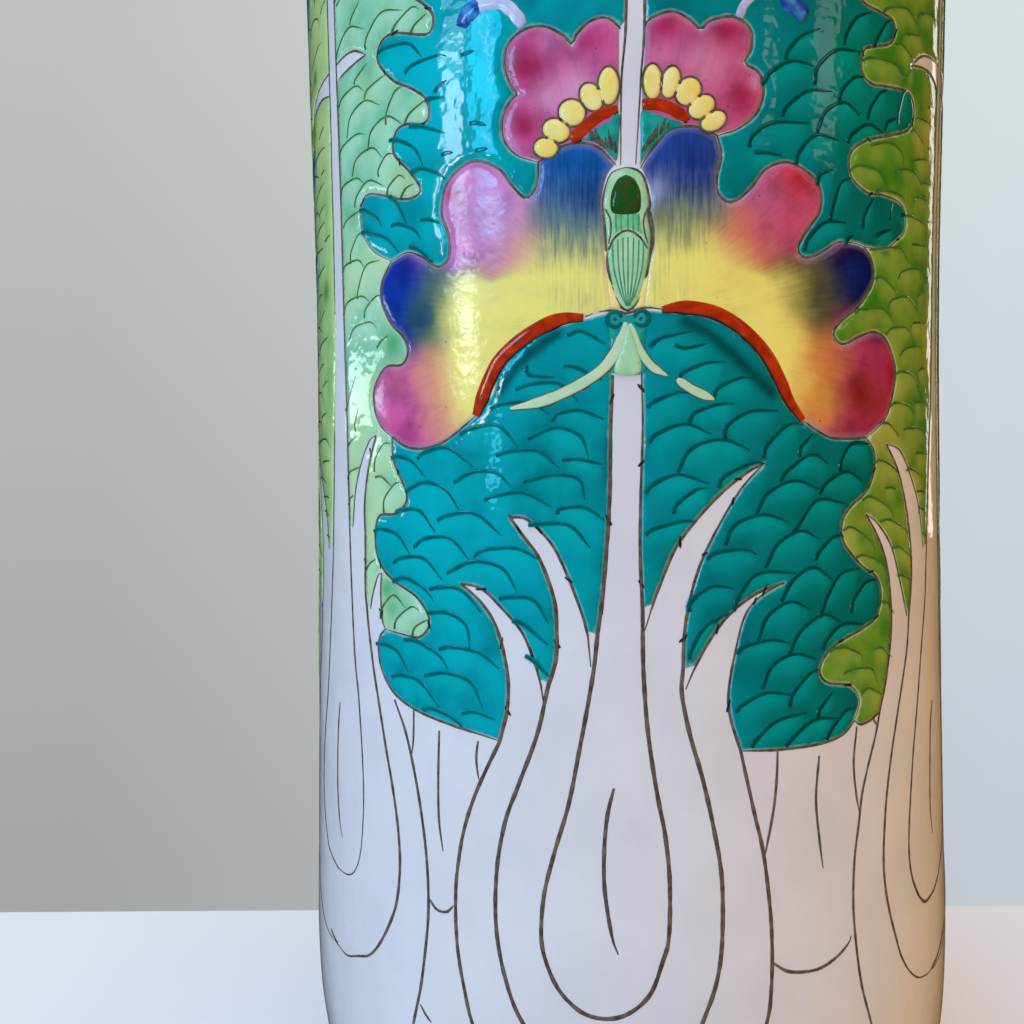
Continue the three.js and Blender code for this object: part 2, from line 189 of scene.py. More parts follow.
WING_SEAM_LEFT = curve_through([
    (-12, 163.5), (-10.1, 164.8), (-8.1, 165.6), (-6.2, 165.9), (-4.3, 165.6), (-2.7, 164.8), (-0.4, 162.3),
])
WING_SEAM_RIGHT = curve_through([
    (14.6, 166.6), (12.7, 167.4), (10.8, 167.9), (7.6, 167.4), (5.4, 165.1), (4, 163.2), (3.2, 161.7),
])
LOWER_WING_LEFT = curve_through([
    (-12, 163.5), (-12.3, 160.3), (-13.9, 158.3), (-16.1, 160.3), (-18.3, 163.2), (-22.2, 165), (-25.6, 164),
    (-27.9, 161.6), (-28.6, 157.8), (-27.4, 154.3), (-27.4, 150.8), (-29.5, 149.6), (-32.3, 151.4),
    (-35.8, 152.8), (-39.7, 152),
])
LOWER_TIP_LEFT = curve_through([
    (-39.7, 152), (-42.3, 148.9), (-42.4, 145.7), (-40.2, 142), (-37.1, 139.3), (-36.1, 136.7), (-37.6, 134.9),
    (-41.6, 134.9), (-44.8, 131.6), (-44.6, 128), (-42.9, 125.3), (-40, 123.4),
])
LOWER_WING_RIGHT = curve_through([
    (14.6, 166.6), (15.3, 163.8), (14.6, 160.7), (14.8, 158.1), (16.8, 156.9), (19.7, 158.9), (22.3, 162.1),
    (25.8, 163.5), (29.6, 162.4), (32, 160.3), (32, 156.8), (29.6, 153.6), (27.9, 150.6), (29.4, 149.4),
    (32.5, 150.6), (35.7, 152.4), (39.5, 152.6), (41.5, 152.3),
])
LOWER_TIP_RIGHT = curve_through([
    (41.5, 152.3), (43.5, 150.4), (43.8, 147.3), (40.8, 143.4), (36.6, 140.4), (34.7, 138.2), (36.6, 136.7),
    (40.4, 138.2), (44.2, 139.2), (47.6, 138), (50.1, 133.9), (49.6, 130.7), (47.2, 125.9), (43, 123),
    (41.7, 122.4),
])
WING_FOOT_LEFT = curve_through([(-40, 123.4), (-36.5, 121.6), (-32.3, 121.2), (-28, 122.4), (-22.5, 126)])
WING_FOOT_RIGHT = curve_through([(41.7, 122.4), (37.9, 122.1), (33.4, 122.3), (28.5, 124.7)])
RED_ARC_LEFT = curve_through([
    (-22.5, 126), (-19.9, 129.1), (-18.8, 132.3), (-16.1, 135.3), (-12.3, 137.9), (-7.8, 139.1), (-5.1, 139.8),
    (-1, 140.8),
])
RED_ARC_RIGHT = curve_through([
    (28.5, 124.7), (25.5, 127.5), (23.2, 131.6), (20.4, 135.6), (15.9, 138.8), (11.4, 140.3), (7.3, 140.6),
    (3.4, 141),
])
BODY_SIDE_LEFT = curve_through([(-1, 140.8), (-1.7, 147.3), (-2.1, 153), (-2.4, 157), (-1.6, 160.6), (-0.4, 162.3)])
BODY_SIDE_RIGHT = curve_through([(3.4, 141), (4.1, 146.3), (4.8, 151.4), (4.4, 155), (4.6, 158), (3.2, 161.7)])
BODY = curve_through([
    (1.2, 161.9), (2.7, 161.5), (3.8, 160.2), (4.6, 156.5), (4.3, 154.9), (4.8, 151.4), (4.1, 146.3), (3, 142.5),
    (1.2, 140.7), (-0.5, 142.5), (-1.7, 147.3), (-2.1, 153), (-2.4, 157.1), (-1.4, 160.7), (-0.2, 161.6),
    (1.2, 161.9),
])
LEAF_SKIRT_LEFT = curve_through([
    (-40, 123.4), (-39.8, 119.8), (-38.2, 117), (-36.5, 114), (-37, 112.2), (-39.5, 110.8), (-43.7, 110.4),
    (-44.6, 106.1), (-43.2, 102.6), (-40, 100.1), (-34.2, 97.4), (-31.6, 93.8), (-33.6, 91.2), (-37, 91.3),
    (-41.8, 91.9),
])
LEAF_HEM_LEFT = curve_through([
    (-41.8, 91.9), (-43.5, 90.3), (-43.3, 86.2), (-40.1, 82), (-35, 79.6), (-28.3, 78), (-22, 76.8), (-18.8, 76.1),
])
LEAF_SKIRT_RIGHT = curve_through([
    (41.7, 122.4), (43.9, 120.2), (43.6, 116.7), (41.7, 113.8), (38.4, 111.7), (36.3, 109.3), (36.5, 106),
    (40.4, 102.3), (44, 100.4), (45.3, 97.5), (43.9, 94), (40.5, 92.4), (34.1, 90), (31.4, 86.8), (32.7, 84.6),
    (37.5, 83.7), (39.6, 81.3), (38.4, 78.2),
])
LEAF_HEM_RIGHT = curve_through([
    (38.4, 78.2), (36.3, 76.5), (33, 75.5), (28.5, 75.1), (22.9, 75), (17.7, 75.2),
])
# White stems that rise like flames between the fields
STEM_L2 = [curve_through(run) for run in (
    [(-18.8, 76.1), (-17.6, 80.9), (-17.4, 85.4), (-18.3, 90.4), (-19.8, 94.4), (-22.3, 97.5), (-25.6, 100)],
    [(-25.6, 100), (-21.8, 99.2), (-18.4, 96.3), (-15.3, 93), (-13.4, 89), (-12.2, 85.1)],
)]
STEM_L1 = [curve_through(run) for run in (
    [(-11, 85.1), (-9.9, 88.5), (-9.7, 93), (-10.1, 98), (-12.3, 103.9), (-14.6, 107), (-17, 110.2)],
    [(-17, 110.2), (-14.2, 109.8), (-10.4, 106.1), (-8, 101.3), (-5.9, 95.8), (-5, 92.5)],
)]
STEM_R2 = [curve_through(run) for run in (
    [(17.7, 75.2), (16.1, 80.3), (15.9, 84.3), (17, 90), (18.6, 95.4), (21.2, 98.2), (25.2, 100.1)],
    [(25.2, 100.1), (20.2, 98.4), (15.8, 95.2), (12.6, 91), (10.6, 87.4)],
)]
STEM_R1 = [curve_through(run) for run in (
    [(9, 87.4), (9.4, 94), (10.9, 100.7), (13.3, 106.4), (17.8, 113.8), (21.9, 118.1)],
    [(21.9, 118.1), (18.1, 116), (13.3, 111.9), (8.4, 106), (5.7, 100), (4.4, 96.5)],
)]
MIDRIB_LEFT = curve_through([
    (-3.6, 92.5), (-2.8, 98.2), (-2.1, 106.1), (-1.6, 114.1), (-1.4, 123.7), (-1.1, 130.7), (-1, 140.8),
])
MIDRIB_RIGHT = curve_through([(3.1, 96.5), (2.8, 104.5), (2.9, 112.2), (3.3, 124), (3.2, 131), (3.4, 141)])
MIDRIB_UPPER_LEFT = curve_through([(1.7, 270), (1.5, 220), (1.3, 186.3), (0.5, 174.7), (0.3, 162.3)])
MIDRIB_UPPER_RIGHT = curve_through([(3, 270), (3.6, 220), (3.9, 186), (3.3, 174.7), (2.5, 162.3)])
NARROW_MIDRIB_LEFT = [curve_through(run) for run in (
    [(-56.3, 268), (-55.5, 200), (-55.2, 188.6)],
    [(-55.2, 188.6), (-53, 188.9), (-50.5, 189), (-48, 188.6), (-45, 187)],
    [(-45, 187), (-49, 186.6), (-53.5, 186), (-55.1, 185.4)],
    [(-55.1, 185.4), (-55.1, 150), (-54.2, 128), (-53.3, 112), (-53.1, 108.5)],
)]
NARROW_STEMS_LEFT = [curve_through(run) for run in (
    [(-51.9, 108.5), (-51, 114.4), (-49.2, 118.9), (-46.4, 122.9), (-44.3, 123.9)],
    [(-44.3, 123.9), (-46.4, 119.2), (-47.8, 112.8), (-47.6, 106.1), (-47.6, 98), (-47.1, 95)],
    [(-46, 95), (-45.3, 97.5), (-43.8, 100.7), (-42.9, 101.1)],
    [(-42.9, 101.1), (-43.1, 97.2), (-42.6, 93), (-41.8, 91.9)],
)]
NARROW_MIDRIB_RIGHT = [curve_through(run) for run in (
    [(69.3, 268), (68.8, 200), (68.6, 188.4)],
    [(68.6, 188.4), (62.7, 187.8), (58.2, 186.5), (54.4, 183.8)],
    [(54.4, 183.8), (57.6, 184.7), (63.3, 185.3), (68.4, 184.4)],
    [(68.4, 184.4), (67.6, 160), (66.8, 136), (64.3, 119), (62.2, 104.5)],
)]
NARROW_STEMS_RIGHT = [curve_through(run) for run in (
    [(60.4, 104.5), (58.7, 110.9), (56, 115.4), (51.5, 120.5), (47.2, 121.5)],
    [(47.2, 121.5), (50.9, 117), (53.8, 110), (55.1, 102.9), (54.8, 98), (53.8, 93.5)],
    [(53.1, 93.5), (51.2, 98.5), (48.4, 104.9), (44.5, 108.8), (41.6, 110.3)],
    [(41.6, 110.3), (44.8, 106.4), (47.2, 101.3), (48.1, 93), (46.6, 84.8), (44.5, 79)],
)]
NARROW_HEM_RIGHT = curve_through([(44.5, 79), (42.4, 77.9), (39.6, 77.4), (38.4, 78.2)])


def back(run):
    return run[::-1]


FIELDS = {
    "teal_leaf_upper_left": [
        MIDRIB_UPPER_LEFT[MIDRIB_UPPER_LEFT[:, 1] > 182.3], UPPER_WING_LEFT, LOWER_WING_LEFT,
        back(LEAF_EDGE_LEFT), *LEAF_CROWN_LEFT],
    "teal_leaf_upper_right": [
        MIDRIB_UPPER_RIGHT[MIDRIB_UPPER_RIGHT[:, 1] > 182.5], UPPER_WING_RIGHT, LOWER_WING_RIGHT,
        back(LEAF_EDGE_RIGHT), *LEAF_CROWN_RIGHT],
    "teal_leaf_lower_left": [
        back(RED_ARC_LEFT), back(WING_FOOT_LEFT), LEAF_SKIRT_LEFT, LEAF_HEM_LEFT, *STEM_L2, *STEM_L1, MIDRIB_LEFT],
    "teal_leaf_lower_right": [
        back(RED_ARC_RIGHT), back(WING_FOOT_RIGHT), LEAF_SKIRT_RIGHT, LEAF_HEM_RIGHT, *STEM_R2, *STEM_R1,
        MIDRIB_RIGHT],
    "green_leaf_right": [
        *NARROW_MIDRIB_LEFT, *NARROW_STEMS_LEFT, back(LEAF_SKIRT_LEFT), back(LOWER_TIP_LEFT),
        back(LEAF_EDGE_LEFT), *NARROW_CROWN_LEFT],
    "green_leaf_left": [
        *NARROW_MIDRIB_RIGHT, *NARROW_STEMS_RIGHT, NARROW_HEM_RIGHT, back(LEAF_SKIRT_RIGHT),
        back(LOWER_TIP_RIGHT), back(LEAF_EDGE_RIGHT), *NARROW_CROWN_RIGHT],
    "upper_wing_left": [UPPER_WING_LEFT, WING_SEAM_LEFT, np.array([(-0.4, 162.3), (0.3, 172), (0.4, 182.2)])],
    "upper_wing_right": [UPPER_WING_RIGHT, WING_SEAM_RIGHT, np.array([(3.2, 161.7), (3.3, 172), (3.9, 182.3)])],
    "lower_wing_left": [
        back(WING_SEAM_LEFT), LOWER_WING_LEFT, LOWER_TIP_LEFT, WING_FOOT_LEFT, RED_ARC_LEFT, BODY_SIDE_LEFT],
    "lower_wing_right": [
        back(WING_SEAM_RIGHT), LOWER_WING_RIGHT, LOWER_TIP_RIGHT, WING_FOOT_RIGHT, RED_ARC_RIGHT, BODY_SIDE_RIGHT],
    "butterfly_body": [BODY],
}


def outline_of(runs):
    """A closed outline, anticlockwise, from runs that follow each other."""
    contour = np.vstack([run[:-1] for run in runs])
    step = np.linalg.norm(np.roll(contour, -1, 0) - contour, axis=1)
    contour = contour[step > 0.15]
    ahead = np.roll(contour, -1, 0)
    area = np.sum(contour[:, 0] * ahead[:, 1] - ahead[:, 0] * contour[:, 1])
    return contour if area > 0 else contour[::-1]


def drawn_in(contour, amount):
    """The outline moved inwards."""
    before, ahead = np.roll(contour, 1, 0), np.roll(contour, -1, 0)
    along = [b - a for a, b in ((before, contour), (contour, ahead))]
    along = [v / np.maximum(np.linalg.norm(v, axis=1), 1e-9)[:, None] for v in along]
    inward = np.column_stack([-(along[0] + along[1])[:, 1], (along[0] + along[1])[:, 0]]) / 2
    return contour + inward * amount / np.maximum(np.sum(inward**2, axis=1), 0.4)[:, None]


def inside(contour, points):
    """True for each point inside the outline."""
    result = np.zeros(len(points), bool)
    x, y = points[:, 0], points[:, 1]
    for (x0, y0), (x1, y1) in zip(contour, np.roll(contour, -1, 0)):
        if y0 != y1:
            crossed = (y0 > y) != (y1 > y)
            result ^= crossed & (x < (x1 - x0) * (y - y0) / (y1 - y0) + x0)
    return result


def edge_distance(contour, points):
    """Distance from each point to the outline, in millimetres."""
    nearest = np.full(len(points), 1e9)
    for a, b in zip(contour, np.roll(contour, -1, 0)):
        along = b - a
        share = np.clip((points - a) @ along / max(along @ along, 1e-12), 0, 1)
        nearest = np.minimum(nearest, np.linalg.norm(points - a - share[:, None] * along, axis=1))
    return nearest


class Sheet:
    """A flat mesh: points (round, height, lift) in millimetres, faces, and values at the points."""

    def __init__(self, points, faces, values=None):
        self.points = np.asarray(points, float)
        self.faces = [tuple(int(i) for i in face) for face in faces]
        self.values = values or {}


def enamel_sheet(contour, grid, base=0.0, rise=ENAMEL_RISE):
    """A closed enamel field over an outline: highest inside, rounded down to the wall at its edge."""
    rim = drawn_in(contour, EDGE_INSET)
    low, high = rim.min(0), rim.max(0)
    rows = []
    for i, z in enumerate(np.arange(low[1], high[1], grid * 0.87)):
        along = np.arange(low[0] + (i % 2) * grid / 2, high[0], grid)
        rows.append(np.column_stack([along, np.full(len(along), z)]))
    lattice = np.vstack(rows)
    ring = drawn_in(contour, EDGE_INSET + EDGE_ROUNDING)[::2]
    ring = ring[inside(rim, ring)]
    ring = ring[edge_distance(rim, ring) > EDGE_ROUNDING * 0.8]
    lattice = lattice[inside(rim, lattice)]
    lattice = lattice[edge_distance(rim, lattice) > EDGE_ROUNDING + grid * 0.45]
    every = [Vector(p) for p in np.vstack([rim, ring, lattice])]
    found, _, faces, _, _, _ = delaunay_2d_cdt(every, [], [list(range(len(rim)))], 1, 1e-5)
    flat = np.array([tuple(p) for p in found])
    edge = edge_distance(rim, flat)
    count = len(flat)
    top = np.column_stack([flat, base + rise * (1 - np.exp(-edge / EDGE_ROUNDING))])
    bottom = np.column_stack([flat, np.full(count, -ENAMEL_SINK)])
    sides = {(a, b) for face in faces for a, b in zip(face, list(face[1:]) + [face[0]])}
    shape = [tuple(face) for face in faces]
    shape += [tuple(count + i for i in reversed(face)) for face in faces]
    shape += [(b, a, count + a, count + b) for a, b in sides if (b, a) not in sides]
    sheet = Sheet(np.vstack([top, bottom]), shape, {"edge": np.tile(edge, 2)})
    sheet.flat = np.vstack([flat, flat])
    return sheet


# Brush lines: a path, a half width along it, and how high it lies

class Strokes:
    """Brush strokes as open flat paths, with a half width at every point."""

    def __init__(self):
        self.points, self.edges, self.half_widths = [], [], []

    def add(self, path, width, lift=0.03, head=0.7, tail=0.35, fade=0.0, waver=0.13):
        """One stroke. head and tail are the shares of the width at its two ends, fade how much it thins."""
        path = np.asarray(path, float)
        if len(path) < 2:
            return
        run = np.concatenate([[0], np.cumsum(np.linalg.norm(np.diff(path, axis=0), axis=1))])
        share = run / run[-1]
        swell = np.minimum(1, head + share * 9 * (1 - head)) * np.minimum(1, tail + (1 - share) * 5 * (1 - tail))
        swell = swell * (1 - fade * share)
        wobble = 1 + waver * np.sin(run * 1.7 + path[0, 1]) * np.sin(run * 0.61 + path[0, 0])
        first = len(self.points)
        self.points += [(x, y, lift) for x, y in path]
        self.edges += [(first + i, first + i + 1) for i in range(len(path) - 1)]
        self.half_widths += list(0.5 * width * swell * wobble)


def sparser(path, step=INK_STEP):
    """A fine path with about one point for each step."""
    run = np.concatenate([[0], np.cumsum(np.linalg.norm(np.diff(path, axis=0), axis=1))])
    at = np.linspace(0, run[-1], max(2, int(round(run[-1] / step)) + 1))
    return np.column_stack([np.interp(at, run, path[:, 0]), np.interp(at, run, path[:, 1])])


def add_node(tree, kind, settings=None, **links):
    """Adds a node, sets its properties, and fills its inputs with values or with other nodes' outputs."""
    node = tree.nodes.new(kind)
    for name, value in (settings or {}).items():
        setattr(node, name, value)
    for name, value in links.items():
        key = int(name[1:]) if name[0] == "i" and name[1:].isdigit() else name.replace("_", " ")
        socket = node.inputs[key]
        if isinstance(value, bpy.types.NodeSocket):
            tree.links.new(value, socket)
        else:
            socket.default_value = value
    return node


def brush_tree():
    """Geometry Nodes: turns paths into low domed strokes as wide as the brush pressed."""
    tree = bpy.data.node_groups.new("brush_strokes", "GeometryNodeTree")
    ask = tree.interface.new_socket
    ask("Paths", in_out="INPUT", socket_type="NodeSocketGeometry")
    ask("Dome share", in_out="INPUT", socket_type="NodeSocketFloat")
    ask("Brush sides", in_out="INPUT", socket_type="NodeSocketInt")
    ask("Colour", in_out="INPUT", socket_type="NodeSocketMaterial")
    ask("Strokes", in_out="OUTPUT", socket_type="NodeSocketGeometry")
    given = tree.nodes.new("NodeGroupInput").outputs
    width = add_node(tree, "GeometryNodeInputNamedAttribute", {"data_type": "FLOAT"}, Name="half_width")
    paths = add_node(tree, "GeometryNodeMeshToCurve", Mesh=given["Paths"])
    level = add_node(tree, "GeometryNodeSetCurveNormal", {"mode": "Z_UP"}, Curve=paths.outputs[0])
    ring = add_node(tree, "GeometryNodeCurvePrimitiveCircle", Resolution=given["Brush sides"], Radius=1.0)
    flat = add_node(tree, "ShaderNodeCombineXYZ", X=1.0, Y=given["Dome share"], Z=1.0)
    brush = add_node(tree, "GeometryNodeTransform", Geometry=ring.outputs[0], Scale=flat.outputs[0])
    body = add_node(tree, "GeometryNodeCurveToMesh", Curve=level.outputs[0], Profile_Curve=brush.outputs[0],
                    Scale=width.outputs[0], Fill_Caps=True)
    real = add_node(tree, "GeometryNodeRealizeInstances", Geometry=body.outputs[0])
    ready = add_node(tree, "GeometryNodeSetMaterial", Geometry=real.outputs[0], Material=given["Colour"])
    made = tree.nodes.new("NodeGroupOutput")
    tree.links.new(ready.outputs[0], made.inputs[0])
    return tree


BRUSH = brush_tree()


def stroke_sheet(strokes, material, dome, sides=8):
    """The flat mesh of all these strokes."""
    mesh = bpy.data.meshes.new("paths")
    mesh.from_pydata(strokes.points, strokes.edges, [])
    mesh.attributes.new("half_width", "FLOAT", "POINT").data.foreach_set("value", strokes.half_widths)
    holder = bpy.data.objects.new("paths", mesh)
    bpy.context.collection.objects.link(holder)
    nodes = holder.modifiers.new("brush", "NODES")
    nodes.node_group = BRUSH
    inputs = {item.name: item.identifier for item in BRUSH.interface.items_tree if item.in_out == "INPUT"}
    nodes[inputs["Dome share"]] = dome
    nodes[inputs["Brush sides"]] = sides
    nodes[inputs["Colour"]] = material
    done = bpy.data.meshes.new_from_object(holder.evaluated_get(bpy.context.evaluated_depsgraph_get()))
    points = np.array([tuple(v.co) for v in done.vertices])
    faces = [tuple(face.vertices) for face in done.polygons]
    bpy.data.objects.remove(holder)
    bpy.data.meshes.remove(mesh)
    bpy.data.meshes.remove(done)
    return Sheet(points, faces)


def laid(sheet, index):
    """A flat sheet laid round the wall in one repeat: points in metres and outward faces."""
    flat = sheet.points.copy()
    if index is not None:
        flat[:, :2] = to_repeat(index, flat[:, :2])
    faces = sheet.faces if index != 1 else [face[::-1] for face in sheet.faces]
    return round_the_wall(flat), faces


def piece(name, parts, material, nodes=()):
    """One piece of the object from (sheet, repeat) parts."""
    points, faces, values = [], [], {}
    for sheet, index in parts:
        place, around = laid(sheet, index)
        first = sum(len(p) for p in points)
        points.append(place)
        faces += [tuple(first + i for i in face) for face in around]
        for key, value in sheet.values.items():
            values.setdefault(key, []).append(value)
    mesh = bpy.data.meshes.new(name)
    mesh.from_pydata(np.vstack(points).tolist(), [], faces)
    mesh.shade_smooth()
    for key, value in values.items():
        value = np.concatenate(value)
        if value.ndim == 1:
            mesh.attributes.new(key, "FLOAT", "POINT").data.foreach_set("value", value)
        elif value.shape[1] == 4:
            mesh.attributes.new(key, "FLOAT_COLOR", "POINT").data.foreach_set("color", value.ravel())
        else:
            mesh.attributes.new(key, "FLOAT_VECTOR", "POINT").data.foreach_set("vector", value.ravel())
    mesh.materials.append(material)
    obj = bpy.data.objects.new(name, mesh)
    bpy.context.collection.objects.link(obj)
    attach(obj, "root")
    if nodes:
        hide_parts(*nodes)
    return obj
